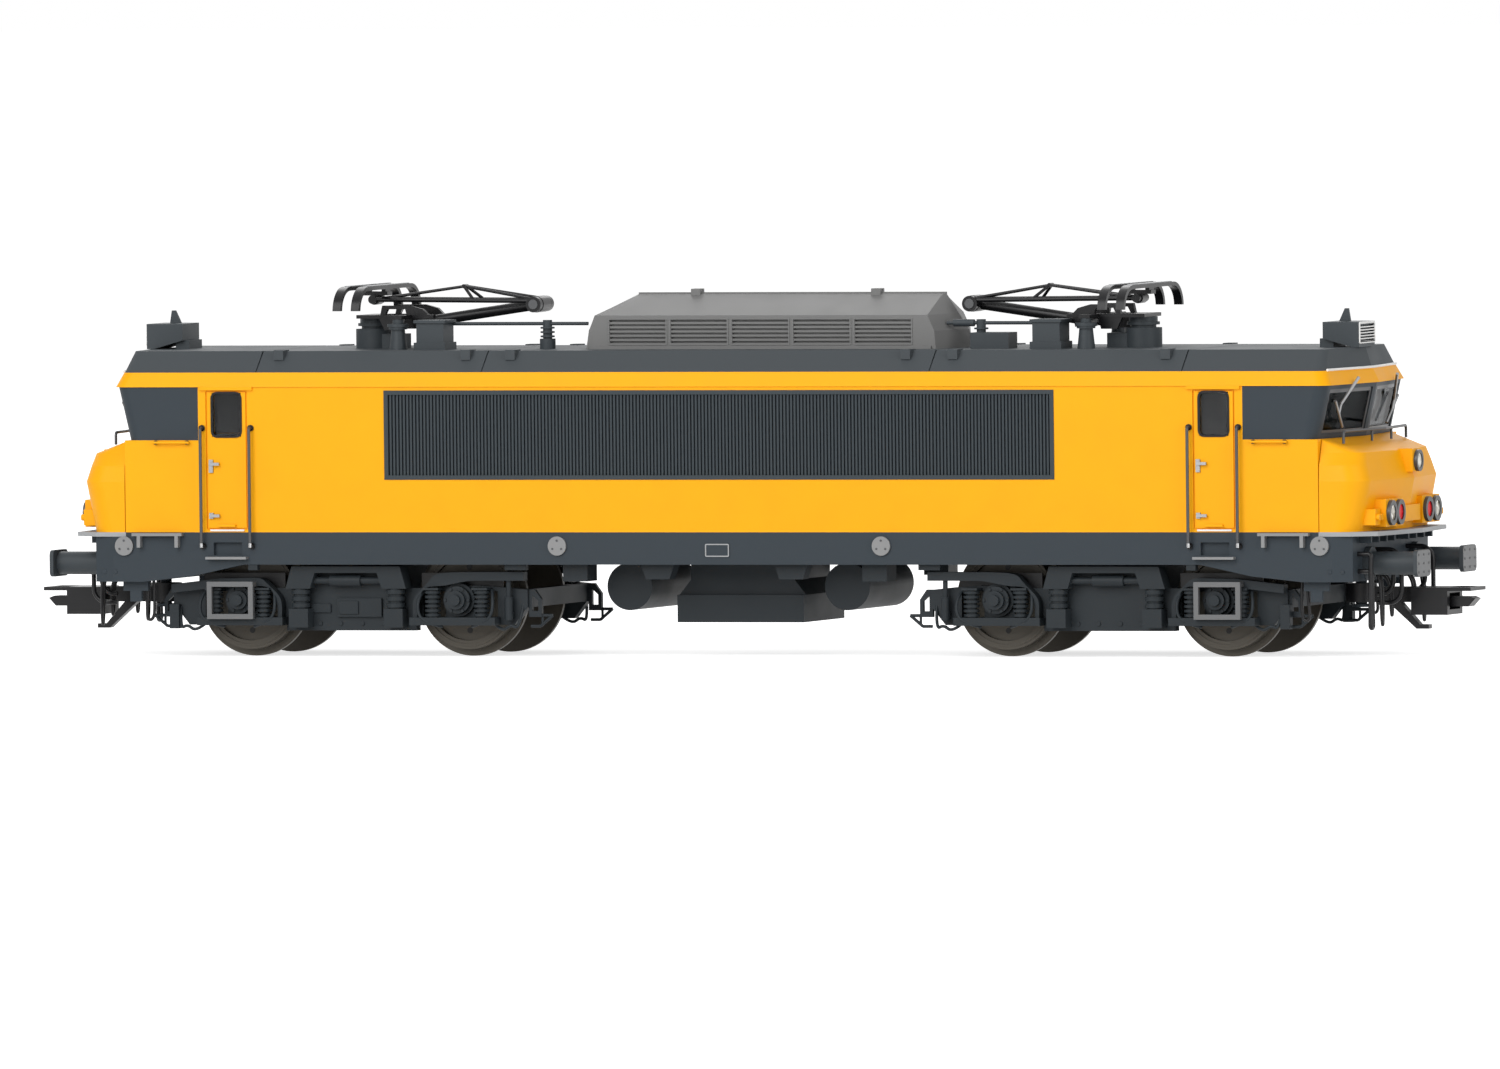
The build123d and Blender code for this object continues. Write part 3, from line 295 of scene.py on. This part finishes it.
def rounded_loop(centre, across, up, size, corner):
    """Points round a rectangle with rounded corners, and the direction of its front."""
    u, v = Vector(across).normalized(), Vector(up).normalized()
    half = [size[0] / 2 - corner, size[1] / 2 - corner]
    points = []
    for quarter, (sx, sy) in enumerate(((1, 1), (-1, 1), (-1, -1), (1, -1))):
        for step in range(CORNER_STEPS + 1):
            angle = math.radians(90 * (quarter + step / CORNER_STEPS))
            x = sx * half[0] + corner * math.cos(angle)
            y = sy * half[1] + corner * math.sin(angle)
            points.append(mm(*centre) + (u * x + v * y) * MM)
    return points, u.cross(v)


def bridge(mesh, near, far):
    """Faces between two closed rows of vertices."""
    for i in range(len(near)):
        j = (i + 1) % len(near)
        mesh.faces.new((near[i], near[j], far[j], far[i]))


def bridge_round(mesh, rows):
    """Faces between each row of vertices and the next one, and from the last to the first."""
    for i, row in enumerate(rows):
        bridge(mesh, row, rows[(i + 1) % len(rows)])


def ring_part(mesh, centre, across, up, size, corner, bar, depth):
    """Adds a flat frame with rounded corners: size and bar in its plane, depth towards its front."""
    outer, front = rounded_loop(centre, across, up, size, corner)
    hole = [d - 2 * bar for d in size]
    inner, front = rounded_loop(centre, across, up, hole, max(corner - bar, MIN_CORNER))
    lift = front * depth * MM
    loops = (outer, [p + lift for p in outer], [p + lift for p in inner], inner)
    bridge_round(mesh, [[mesh.verts.new(p) for p in loop] for loop in loops])


def hoop_part(mesh, centre, radius, bar, depth, steps=48):
    """Adds a flat round ring about the Y axis: bar is its width, depth its thickness along Y."""
    x0, y0, z0 = centre
    turns = [2 * math.pi * k / steps for k in range(steps)]
    rows = []
    for r, y in ((radius, 0), (radius, depth), (radius - bar, depth), (radius - bar, 0)):
        loop = [mm(x0 + r * math.cos(t), y0 + y, z0 + r * math.sin(t)) for t in turns]
        rows.append([mesh.verts.new(p) for p in loop])
    bridge_round(mesh, rows)


def panel_part(mesh, centre, across, up, size, corner, depth):
    """Adds a flat plate with rounded corners, depth towards its front."""
    loop, front = rounded_loop(centre, across, up, size, corner)
    back = [mesh.verts.new(p) for p in loop]
    face = [mesh.verts.new(p + front * depth * MM) for p in loop]
    bridge(mesh, back, face)
    mesh.faces.new(face)
    mesh.faces.new(back[::-1])


def place_piece(name, mesh, finish, body, edge=0.0):
    """Makes one piece of the collected solids, which moves with a body."""
    bmesh.ops.recalc_face_normals(mesh, faces=mesh.faces)
    data = bpy.data.meshes.new(name)
    mesh.to_mesh(data)
    mesh.free()
    obj = bpy.data.objects.new(name, data)
    bpy.context.collection.objects.link(obj)
    data.materials.append(MATERIALS[finish])
    if edge:
        soften(obj, edge)
    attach(obj, body)


def pipe_route(points, x, turn, side):
    """A pipe's places from rows of along, across and up: along from x by turn, across by side."""
    return [(x + turn * dx, side * y, z) for dx, y, z in points]


def pipe_piece(name, routes, radius, finish, body):
    """Makes one piece of thin round pipes through lists of places in millimetres."""
    curve = bpy.data.curves.new(name, "CURVE")
    curve.dimensions = "3D"
    curve.bevel_depth = radius * MM
    curve.bevel_resolution = PIPE_ROUNDNESS
    curve.resolution_u = PIPE_STEPS
    curve.use_fill_caps = True
    for route in routes:
        spline = curve.splines.new("NURBS")
        spline.points.add(len(route) - 1)
        for point, place in zip(spline.points, route):
            point.co = (*mm(*place), 1)
        spline.order_u = PIPE_ORDER
        spline.use_endpoint_u = True
    obj = bpy.data.objects.new(name, curve)
    bpy.context.collection.objects.link(obj)
    curve.materials.append(MATERIALS[finish])
    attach(obj, body)


# Small fittings on the body. Names with HALF are half lengths, and names with OUT say
# how far a fitting stands out.

ENDS = (1, -1)
SIDES = (1, -1)
HALF_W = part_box("underframe")[1][1] / MM
BEAM_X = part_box("underframe")[1][0] / MM
BUFFER_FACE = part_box("buffer_heads")[1][0] / MM
SEAM_X = 87.6
PIPE_R = 0.22

DOOR_X = 72.5
DOOR_W = 5.9
WINDOW_W = 4.3
WINDOW_Z0 = 29.8
WINDOW_Z1 = 35.9
GASKET_LAP = 0.3
SILL_HALF = 1.3
SILL_OUT = 0.45
SILL_Z = (17.25, 17.6)
DOOR_STRIP_HALF = 2.5
DOOR_STRIP_OUT = 0.2
DOOR_STRIP_Z = (16.65, 16.9)
HANDRAIL_GAP = 0.65
BUSH_R = 0.45
BUSH_OUT = 0.3
BUSH_Z = (31.0, 14.6)
TIP_R = 0.25
TIP_OUT = 0.9
TIP_Z = (14.4, 15.0)


def door_fittings():
    """Window gaskets, sills, strips and the ends of the handrails."""
    gaskets, sills, strips, bushes, tips = [bmesh.new() for _ in range(5)]
    for x, side in [(end * DOOR_X, side) for end in ENDS for side in SIDES]:
        y = side * HALF_W
        centre = (x, y, (WINDOW_Z0 + WINDOW_Z1) / 2)
        size = (WINDOW_W + GASKET_LAP, WINDOW_Z1 - WINDOW_Z0 + GASKET_LAP)
        ring_part(gaskets, centre, (-side, 0, 0), UP, size, corner=0.9, bar=0.32, depth=0.12)
        low, high = SILL_Z
        box_part(sills, (x - SILL_HALF, y, low), (x + SILL_HALF, y + side * SILL_OUT, high))
        low, high = DOOR_STRIP_Z
        box_part(strips, (x - DOOR_STRIP_HALF, y, low),
                 (x + DOOR_STRIP_HALF, y + side * DOOR_STRIP_OUT, high))
        for edge in (-1, 1):
            rail_x = x + edge * (DOOR_W / 2 + HANDRAIL_GAP)
            for z in BUSH_Z:
                rod_part(bushes, (rail_x, y, z), (rail_x, y + side * BUSH_OUT, z), BUSH_R)
            low, high = TIP_Z
            rod_part(tips, (rail_x, y + side * TIP_OUT, low), (rail_x, y + side * TIP_OUT, high), TIP_R)
    place_piece("door_gaskets", gaskets, "black", "loco")
    place_piece("door_sills", sills, "yellow", "loco", edge=0.06)
    place_piece("door_strips", strips, "white", "loco")
    place_piece("handrail_bushes", bushes, "black", "loco")
    place_piece("handrail_tips", tips, "bright", "loco")


GRAB_X = (77.9, 83.3)
GRAB_POST_X = (78.3, 82.9)
GRAB_Z = 29.0
GRAB_OUT = 0.6
GRAB_R = 0.17
GRAB_POST_R = 0.28
# The cab front leans forward on its way up and sweeps back on its way to the sides
FRONT_X = 88.9
FRONT_Z = 29.3
LEAN = 1.7 / 7.4
SWEEP = 1.9 / 17.1
SCREEN_Y = 7.9
SCREEN_Z = 33.05
SCREEN_SIZE = (14.1, 6.3)
SCREEN_BACK = 0.32
VISOR_X = 90.05
VISOR_Y = 14.9
VISOR_Z = 38.8
VISOR_R = 0.18


def cab_fittings():
    """Small grab rails, windscreen frames and the strips over the visors."""
    rails, posts, frames, strips = [bmesh.new() for _ in range(4)]
    screen_x = FRONT_X + LEAN * (SCREEN_Z - FRONT_Z) - SWEEP * SCREEN_Y - SCREEN_BACK
    visor_side_x = VISOR_X - SWEEP * VISOR_Y
    for end in ENDS:
        rise = (LEAN * end, 0, 1)
        for side in SIDES:
            y = side * HALF_W
            out = y + side * GRAB_OUT
            rod_part(rails, (end * GRAB_X[0], out, GRAB_Z), (end * GRAB_X[1], out, GRAB_Z), GRAB_R)
            for x in GRAB_POST_X:
                rod_part(posts, (end * x, y, GRAB_Z), (end * x, out, GRAB_Z), GRAB_POST_R)
            across = (-SWEEP * end, side, 0)
            if end * side < 0:
                across = tuple(-a for a in across)
            centre = (end * screen_x, side * SCREEN_Y, SCREEN_Z)
            ring_part(frames, centre, across, rise, SCREEN_SIZE, corner=0.6, bar=0.5, depth=0.15)
            rod_part(strips, (end * visor_side_x, side * VISOR_Y, VISOR_Z), (end * VISOR_X, 0, VISOR_Z),
                     VISOR_R)
    place_piece("cab_grab_rails", rails, "yellow", "loco")
    place_piece("cab_grab_posts", posts, "black", "loco")
    place_piece("windscreen_frames", frames, "dark_steel", "loco")
    place_piece("visor_strips", strips, "white", "loco")


BUFFER_Y = 10.05
BUFFER_Z = 12.0
BUFFER_SIZE = (5.8, 3.6)
RIVETS = [(dy, dz) for dy in (-2.2, 0, 2.2) for dz in (-1.2, 0, 1.2)]
RIVET_OUT = 0.14
RIVET_R = 0.17
GUSSET_Y = (3.0, 6.4, 9.8, 13.2)
GUSSET_HALF = 0.3
GUSSET_OUT = 1.7
GUSSET_Z = (14.9, 15.85)
# Towards its ends the underframe grows narrower from here on
TAPER_X = 89.5
TAPER = 0.7 / 2.8
BEAM_BOLT_X = (89.2, 90.9)
BEAM_BOLT_Z = 11.0
BEAM_BOLT_IN = 0.3
BEAM_BOLT_OUT = 0.12
BEAM_BOLT_R = 0.3
END_PLATES = (  # x0, x1, y0, y1, z0, z1
    (84.9, 88.6, 15.0, 15.7, 8.3, 9.9),
    (85.9, 87.6, 15.0, 15.7, 6.8, 8.4),
)
SIDE_HOSE = (  # along, across, up
    (84.4, 14.8, 9.9),
    (84.2, 14.8, 5.6),
    (84.6, 14.8, 4.2),
    (85.4, 14.8, 4.3),
    (85.4, 14.8, 5.8),
    (85.0, 14.8, 9.9),
)
BEAM_HOSES = (  # place across, height at the beam, height of the loop
    (4.5, 10.4, 4.6),
    (8.6, 11.6, 3.4),
)
BEAM_HOSE_LOOP = (  # out of the beam, across, whether at the height of the loop
    (-0.2, 0, False),
    (1.7, 0, False),
    (1.8, 0.1, True),
    (1.8, 0.9, True),
    (1.7, 1.1, False),
    (-0.2, 1.1, False),
)


def end_fittings():
    """Faces and rivets of the buffers, gussets, bolts and plates at the end beams, and hoses."""
    rivets, gussets, plates, faces = [bmesh.new() for _ in range(4)]
    routes = []
    for end in ENDS:
        for side in SIDES:
            centre = (end * BUFFER_FACE, side * BUFFER_Y, BUFFER_Z)
            panel_part(faces, centre, (0, end, 0), UP, BUFFER_SIZE, corner=0.7, depth=0.08)
            for dy, dz in RIVETS:
                y, z = side * BUFFER_Y + dy, BUFFER_Z + dz
                rod_part(rivets, (end * BUFFER_FACE, y, z), (end * (BUFFER_FACE + RIVET_OUT), y, z),
                         RIVET_R, sides=8)
            low, high = GUSSET_Z
            for y in GUSSET_Y:
                box_part(gussets, (end * BEAM_X, side * y - GUSSET_HALF, low),
                         (end * (BEAM_X + GUSSET_OUT), side * y + GUSSET_HALF, high))
            for x in BEAM_BOLT_X:
                y = HALF_W - max(0, x - TAPER_X) * TAPER
                rod_part(plates, (end * x, side * (y - BEAM_BOLT_IN), BEAM_BOLT_Z),
                         (end * x, side * (y + BEAM_BOLT_OUT), BEAM_BOLT_Z), BEAM_BOLT_R, sides=8)
            box_rows(plates, END_PLATES, 0, end, side)
            routes.append(pipe_route(SIDE_HOSE, 0, end, side))
            for y, top, low in BEAM_HOSES:
                hose = [(BEAM_X + dx, y + dy, low if hangs else top) for dx, dy, hangs in BEAM_HOSE_LOOP]
                routes.append(pipe_route(hose, 0, end, side))
    place_piece("buffer_rivets", rivets, "dark_steel", "loco")
    place_piece("beam_gussets", gussets, "blue_grey", "loco", edge=0.05)
    place_piece("end_plates", plates, "blue_grey", "loco", edge=0.05)
    place_piece("buffer_faces", faces, "dark_silver", "loco")
    pipe_piece("end_hoses", routes, PIPE_R, "black_soft", "loco")


PLATE_X = -0.3
PLATE_Z = 14.0
PLATE_SIZE = (3.5, 1.8)
PLATE_OUT = 0.12
BORDER_AT = 0.1
END_COVER_X = SEAM_X + 0.2
COVER_X = (-END_COVER_X, -23.8, 23.8, END_COVER_X)
COVER_Z = 14.6
COVER_BOLTS = ((0, 0.75), (-0.65, -0.4), (0.65, -0.4))
COVER_BOLT_OUT = (0.3, 0.42)
COVER_BOLT_R = 0.16
SOLE_BRACKETS = (  # x0, x1, y0, y1, z0, z1
    (28.8, 32.0, 15.2, 16.2, 11.2, 12.0),
    (68.2, 69.6, 16.0, 17.0, 11.2, 12.0),
)


def side_fittings():
    """Blank plates with borders on the solebars, bolts of the jack covers, and brackets underneath."""
    plates, borders, bolts, brackets = [bmesh.new() for _ in range(4)]
    half_x, half_z = PLATE_SIZE[0] / 2, PLATE_SIZE[1] / 2
    for side in SIDES:
        y = side * HALF_W
        box_part(plates, (PLATE_X - half_x, y, PLATE_Z - half_z),
                 (PLATE_X + half_x, y + side * PLATE_OUT, PLATE_Z + half_z))
        centre = (PLATE_X, y + side * BORDER_AT, PLATE_Z)
        ring_part(borders, centre, (-side, 0, 0), UP, PLATE_SIZE, corner=0.2, bar=0.16, depth=0.08)
        inner, outer = [y + side * out for out in COVER_BOLT_OUT]
        for x in COVER_X:
            for dx, dz in COVER_BOLTS:
                z = COVER_Z + dz
                rod_part(bolts, (x + dx, inner, z), (x + dx, outer, z), COVER_BOLT_R, sides=8)
        for end in ENDS:
            box_rows(brackets, SOLE_BRACKETS, 0, end, side)
    place_piece("maker_plates", plates, "blue_grey", "loco")
    place_piece("plate_borders", borders, "light_grey", "loco")
    place_piece("jack_bolts", bolts, "dark_steel", "loco")
    place_piece("sole_brackets", brackets, "bogie", "loco", edge=0.06)


ROOF_Z = 41.6
HOOD_Y = 7.7
HOOD_FRAMES = 5
HOOD_FRAME_X = -15.0
HOOD_FRAME_STEP = 9.02
HOOD_FRAME_Z = ROOF_Z + 2.45
HOOD_FRAME_SIZE = (8.7, 3.8)
LUG_X = (-8.8, 17.7)
LUG_Y = 0.5
LUG_HALF_X = 0.7
LUG_HALF_Y = 0.4
LUG_Z = (ROOF_Z + 7.0, ROOF_Z + 8.2)
AC_FACE = SEAM_X + 1.6
AC_Z = ROOF_Z + 2.0
AC_FRAME_SIZE = (6.8, 3.0)
LOUVRES = 6
LOUVRE_Z = ROOF_Z + 0.75
LOUVRE_STEP = 0.4
LOUVRE_HALF_Y = 3.1
LOUVRE_HALF_Z = 0.08
LOUVRE_OUT = 0.12
LINE_Y = -4.5
LINE_RIBS = (  # place along, heights above the roof
    (-29.4, (1.6, 2.2, 2.8)),
    (34.4, (2.6,)),
)
RIB_R = 1.0
RIB_THICK = 0.25


def roof_fittings():
    """Frames and lugs on the hood, louvres of the air conditioners and ribs of the line's insulators."""
    frames, lugs, louvres, ribs = [bmesh.new() for _ in range(4)]
    for side in SIDES:
        for i in range(HOOD_FRAMES):
            centre = (HOOD_FRAME_X + i * HOOD_FRAME_STEP, side * HOOD_Y, HOOD_FRAME_Z)
            ring_part(frames, centre, (-side, 0, 0), UP, HOOD_FRAME_SIZE, corner=0.2, bar=0.22, depth=0.1)
        low, high = LUG_Z
        y = side * LUG_Y
        for x in LUG_X:
            box_part(lugs, (x - LUG_HALF_X, y - LUG_HALF_Y, low), (x + LUG_HALF_X, y + LUG_HALF_Y, high))
    for end in ENDS:
        x, x_out = end * AC_FACE, end * (AC_FACE + LOUVRE_OUT)
        ring_part(louvres, (x, 0, AC_Z), (0, end, 0), UP, AC_FRAME_SIZE, corner=0.2, bar=0.3, depth=0.12)
        for row in range(LOUVRES):
            z = LOUVRE_Z + row * LOUVRE_STEP
            box_part(louvres, (x, -LOUVRE_HALF_Y, z - LOUVRE_HALF_Z),
                     (x_out, LOUVRE_HALF_Y, z + LOUVRE_HALF_Z))
    for x, heights in LINE_RIBS:
        for height in heights:
            z = ROOF_Z + height
            rod_part(ribs, (x, LINE_Y, z), (x, LINE_Y, z + RIB_THICK), RIB_R, sides=20)
    place_piece("insulator_ribs", ribs, "roof_fitting", "loco", edge=0.05)
    place_piece("hood_frames", frames, "hood", "loco")
    place_piece("hood_lugs", lugs, "hood", "loco", edge=0.08)
    place_piece("ac_louvres", louvres, "white", "loco")


# Small fittings on the moving bodies

KNEE_X = 32.1
KNEE_Z = 47.7
KNEE_CAP_Y = (2.8, 2.95)
KNEE_CAP_R = 0.7
PAN_HEAD_X = 56.2
PAN_STRIP_X = (-1.35, 1.35)
PAN_STRIP_HALF_X = 0.4
PAN_STRIP_HALF_Y = 8.4
PAN_STRIP_Z = (50.4, 50.5)


def pantograph_fittings(name, end):
    """Knee caps and contact strips of one pantograph."""
    caps, strips = bmesh.new(), bmesh.new()
    inner, outer = KNEE_CAP_Y
    x = end * KNEE_X
    for side in SIDES:
        rod_part(caps, (x, side * inner, KNEE_Z), (x, side * outer, KNEE_Z), KNEE_CAP_R, sides=20)
    low, high = PAN_STRIP_Z
    for dx in PAN_STRIP_X:
        x = PAN_HEAD_X + dx
        box_part(strips, (end * (x - PAN_STRIP_HALF_X), -PAN_STRIP_HALF_Y, low),
                 (end * (x + PAN_STRIP_HALF_X), PAN_STRIP_HALF_Y, high))
    place_piece("pan_caps_" + name, caps, "dark_steel", "pan_upper_arm_" + name, edge=0.05)
    place_piece("pan_strips_" + name, strips, "steel", "pan_head_" + name)


BOGIE_X = 55.7
HALF_BASE = 16.1
WHEEL_X = [end * BOGIE_X + axle * HALF_BASE for end in ENDS for axle in (1, -1)]
WHEEL_Z = 7.0
WHEEL_FACE = 10.0
WHEEL_DISC = 9.4
WHEEL_RINGS = ((6.6, 0.3), (2.6, 0.4))  # outer radius, width
WHEEL_RING_OUT = 0.1
SPOT_AT = 4.4
SPOT_R = 0.4
SPOT_IN = 0.1
SPOT_OUT = 0.06


def wheel_fittings(name, x):
    """Rings and dark round spots on the wheels' outer faces."""
    rings, spots = bmesh.new(), bmesh.new()
    for side in SIDES:
        for radius, bar in WHEEL_RINGS:
            hoop_part(rings, (x, side * WHEEL_FACE, WHEEL_Z), radius, bar, side * WHEEL_RING_OUT)
        inner, outer = side * (WHEEL_DISC - SPOT_IN), side * (WHEEL_DISC + SPOT_OUT)
        for turn in (1, -1):
            z = WHEEL_Z + turn * SPOT_AT
            rod_part(spots, (x, inner, z), (x, outer, z), SPOT_R)
    place_piece("wheel_rings_" + name, rings, "wheel", "wheelset_" + name)
    place_piece("wheel_spots_" + name, spots, "black_soft", "wheelset_" + name)


# Rows for pipes are along, across and up, and rows for boxes x0, x1, y0, y1, z0, z1.
# Places along are from the axle or from the bogie's pivot.
AXLE_PIPE = (
    (5.0, 14.2, 8.3),
    (5.6, 15.4, 7.2),
    (5.4, 15.6, 4.6),
    (3.4, 15.5, 3.6),
    (2.2, 14.6, 3.3),
)
FRAME_END_PIPE = (
    (5.4, 14.0, 3.6),
    (6.6, 14.4, 2.6),
    (7.8, 14.4, 3.6),
    (9.0, 14.2, 2.9),
    (9.2, 13.0, 6.3),
)
# Dark plate over each wheel's top: partly a guard, partly painted shade that hides the lit wheel tops
AXLE_SHADE_PLATE = ((-6.0, 6.0, 12.0, 12.3, 8.2, 10.7),)
PIVOT_BOXES = (
    (-2.0, 4.6, 13.1, 13.7, 4.6, 7.2),
    (-1.6, 1.2, 13.6, 13.95, 5.0, 6.8),
    (-6.0, -3.0, 13.1, 13.5, 5.2, 6.4),
)
OUTER_BOX = ((25.2, 26.6, 12.9, 14.3, 3.0, 6.4),)
DAMPER_BRACKET = ((24.0, 23.2, 13.0, 14.2, 4.5, 5.3),)
DAMPER_X = 23.6
DAMPER_Y = 14.3
DAMPER_RODS = (  # height from, height to, radius, sides
    (4.2, 7.4, 0.6, 16),
    (7.3, 9.9, 0.35, 12),
)
AXLE_BOLTS = 6
AXLE_BOLT_AT = 1.7
AXLE_BOLT_Y = (14.5, 14.9)
AXLE_BOLT_R = 0.22
FRAME_BOLT_X = (-4.6, -1.6, 1.6, 4.6)
FRAME_BOLT_Y = (13.1, 13.4)
FRAME_BOLT_Z = 3.7
FRAME_BOLT_R = 0.3


def axle_bolts(mesh, x, side):
    """Adds a circle of bolts on one axle box."""
    inner, outer = [side * y for y in AXLE_BOLT_Y]
    for k in range(AXLE_BOLTS):
        angle = math.radians(360 / AXLE_BOLTS * k)
        bolt_x, z = x + AXLE_BOLT_AT * math.cos(angle), WHEEL_Z + AXLE_BOLT_AT * math.sin(angle)
        rod_part(mesh, (bolt_x, inner, z), (bolt_x, outer, z), AXLE_BOLT_R, sides=8)


def bogie_fittings(name, end):
    """Bolts, boxes, dark plates above the wheels, dampers and pipes of one bogie. The dark plates stand
    partly for a guard and partly for painted shade over the wheel tops.
    """
    bolts, boxes, shade_plates, dampers = [bmesh.new() for _ in range(4)]
    routes = []
    pivot_x = end * BOGIE_X
    for side in SIDES:
        for axle in (-1, 1):
            x = pivot_x + axle * HALF_BASE
            for turn in (-1, 1):
                routes.append(pipe_route(AXLE_PIPE, x, turn, side))
            # Dark plates over the wheel tops, partly painted shade
            box_rows(shade_plates, AXLE_SHADE_PLATE, x, 1, side)
            routes.append(pipe_route(FRAME_END_PIPE, x, axle, side))
            axle_bolts(bolts, x, side)
        inner, outer = [side * y for y in FRAME_BOLT_Y]
        for dx in FRAME_BOLT_X:
            x = pivot_x + dx
            rod_part(bolts, (x, inner, FRAME_BOLT_Z), (x, outer, FRAME_BOLT_Z), FRAME_BOLT_R, sides=8)
        # Only one side of each bogie has the boxes at the pivot
        if end == side:
            box_rows(boxes, PIVOT_BOXES, pivot_x, 1, side)
        box_rows(boxes, OUTER_BOX, pivot_x, end, side)
        x, y = pivot_x - end * DAMPER_X, side * DAMPER_Y
        for low, high, radius, sides in DAMPER_RODS:
            rod_part(dampers, (x, y, low), (x, y, high), radius, sides)
        box_rows(dampers, DAMPER_BRACKET, pivot_x, -end, side)
    place_piece("bogie_bolts_" + name, bolts, "bogie", "bogie_" + name)
    place_piece("bogie_boxes_" + name, boxes, "bogie", "bogie_" + name, edge=0.06)
    # The dark plates over the wheels, partly painted shade
    place_piece("bogie_shade_plates_" + name, shade_plates, "black_soft", "bogie_" + name)
    place_piece("bogie_dampers_" + name, dampers, "bogie", "bogie_" + name)
    pipe_piece("bogie_pipes_" + name, routes, PIPE_R, "bogie", "bogie_" + name)


door_fittings()
cab_fittings()
end_fittings()
side_fittings()
roof_fittings()
for name, end in (("front", 1), ("rear", -1)):
    pantograph_fittings(name, end)
    bogie_fittings(name, end)
for number, x in enumerate(WHEEL_X, 1):
    wheel_fittings(str(number), x)

# Floor, light and camera

LOOK_AT = mm(-1.5, 0, 15.6)
YAW = math.radians(19.4)
RISE = math.radians(1.87)
VIEW_WIDTH = 208.4 * MM
LENS = 1000.0
SENSOR = 36.0
CLIP_END = 60.0
FLOOR_SIZE = 8.0
FLOOR_DARK = (0.86, 0.86, 0.86)
FLOOR_LIGHT = (0.88, 0.88, 0.88)
FLOOR_CLOUD_SCALE = 3.0
FLOOR_GLOW = 0.7
WORLD_AS_LIGHT = 0.36
WORLD_AS_SEEN = 1.0


def seen_rays(tree):
    """1 for rays that show the background: camera, glossy and transmission rays."""
    path = tree.nodes.new("ShaderNodeLightPath")
    total = path.outputs["Is Camera Ray"]
    for ray in ("Is Glossy Ray", "Is Transmission Ray"):
        either = tree.nodes.new("ShaderNodeMath")
        either.operation = "MAXIMUM"
        tree.links.new(total, either.inputs[0])
        tree.links.new(path.outputs[ray], either.inputs[1])
        total = either.outputs["Value"]
    return total


def make_floor():
    """Wide pale floor that glows where it is seen and keeps a faint shadow."""
    bpy.ops.mesh.primitive_plane_add(size=FLOOR_SIZE)
    floor = bpy.context.object
    floor.name = "floor"
    material, tree, output = new_material("floor")
    coords = tree.nodes.new("ShaderNodeTexCoord")
    cloud = noise(tree, coords, FLOOR_CLOUD_SCALE, detail=2)
    diffuse = tree.nodes.new("ShaderNodeBsdfDiffuse")
    tone = tones(tree, cloud.outputs["Fac"], FLOOR_DARK, FLOOR_LIGHT)
    tree.links.new(tone, diffuse.inputs["Color"])
    glow = tree.nodes.new("ShaderNodeEmission")
    strength = tree.nodes.new("ShaderNodeMath")
    strength.operation = "MULTIPLY"
    strength.inputs[1].default_value = FLOOR_GLOW
    tree.links.new(seen_rays(tree), strength.inputs[0])
    tree.links.new(strength.outputs["Value"], glow.inputs["Strength"])
    add = tree.nodes.new("ShaderNodeAddShader")
    tree.links.new(diffuse.outputs["BSDF"], add.inputs[0])
    tree.links.new(glow.outputs["Emission"], add.inputs[1])
    tree.links.new(add.outputs["Shader"], output.inputs["Surface"])
    floor.data.materials.append(material)


def make_world():
    """White behind the model, softer as light."""
    world = bpy.data.worlds.new("studio")
    bpy.context.scene.world = world
    world.use_nodes = True
    tree = world.node_tree
    tree.nodes.clear()
    output = tree.nodes.new("ShaderNodeOutputWorld")
    background = tree.nodes.new("ShaderNodeBackground")
    level = tree.nodes.new("ShaderNodeMapRange")
    level.inputs["To Min"].default_value = WORLD_AS_LIGHT
    level.inputs["To Max"].default_value = WORLD_AS_SEEN
    tree.links.new(seen_rays(tree), level.inputs["Value"])
    background.inputs["Color"].default_value = (1, 1, 1, 1)
    tree.links.new(level.outputs["Result"], background.inputs["Strength"])
    tree.links.new(background.outputs["Background"], output.inputs["Surface"])


LIGHTS = (  # name, place in metres, size in metres, power in watts
    ("key", (-0.20, -0.95, 0.55), 0.8, 8.9),
    ("top", (0.0, 0.1, 1.2), 0.9, 1.2),
    ("back", (-0.3, 0.9, 0.7), 0.7, 2.8),
    ("end", (1.0, -0.45, 0.25), 0.6, 3.6),
)


def make_lights():
    """Square soft lights that face the model."""
    for name, place, size, power in LIGHTS:
        lamp = bpy.data.lights.new(name, "AREA")
        lamp.size = size
        lamp.energy = power
        obj = bpy.data.objects.new(name, lamp)
        bpy.context.collection.objects.link(obj)
        obj.location = place
        obj.rotation_euler = (LOOK_AT - Vector(place)).to_track_quat("-Z", "Y").to_euler()


def make_camera():
    """Long lens at the photograph's angle, with the model's length level in the frame."""
    back = Vector((math.sin(YAW) * math.cos(RISE), -math.cos(YAW) * math.cos(RISE), math.sin(RISE)))
    up = back.cross(Vector((1, 0, 0))).normalized()
    right = up.cross(back)
    data = bpy.data.cameras.new("camera")
    data.sensor_width = SENSOR
    data.lens = LENS
    data.clip_end = CLIP_END
    camera = bpy.data.objects.new("camera", data)
    bpy.context.collection.objects.link(camera)
    place = LOOK_AT + back * (VIEW_WIDTH * LENS / SENSOR)
    turn = Matrix((right, up, back)).transposed().to_4x4()
    camera.matrix_world = Matrix.Translation(place) @ turn
    bpy.context.scene.camera = camera


make_floor()
make_world()
make_lights()
make_camera()
bpy.context.scene.view_settings.view_transform = "Standard"
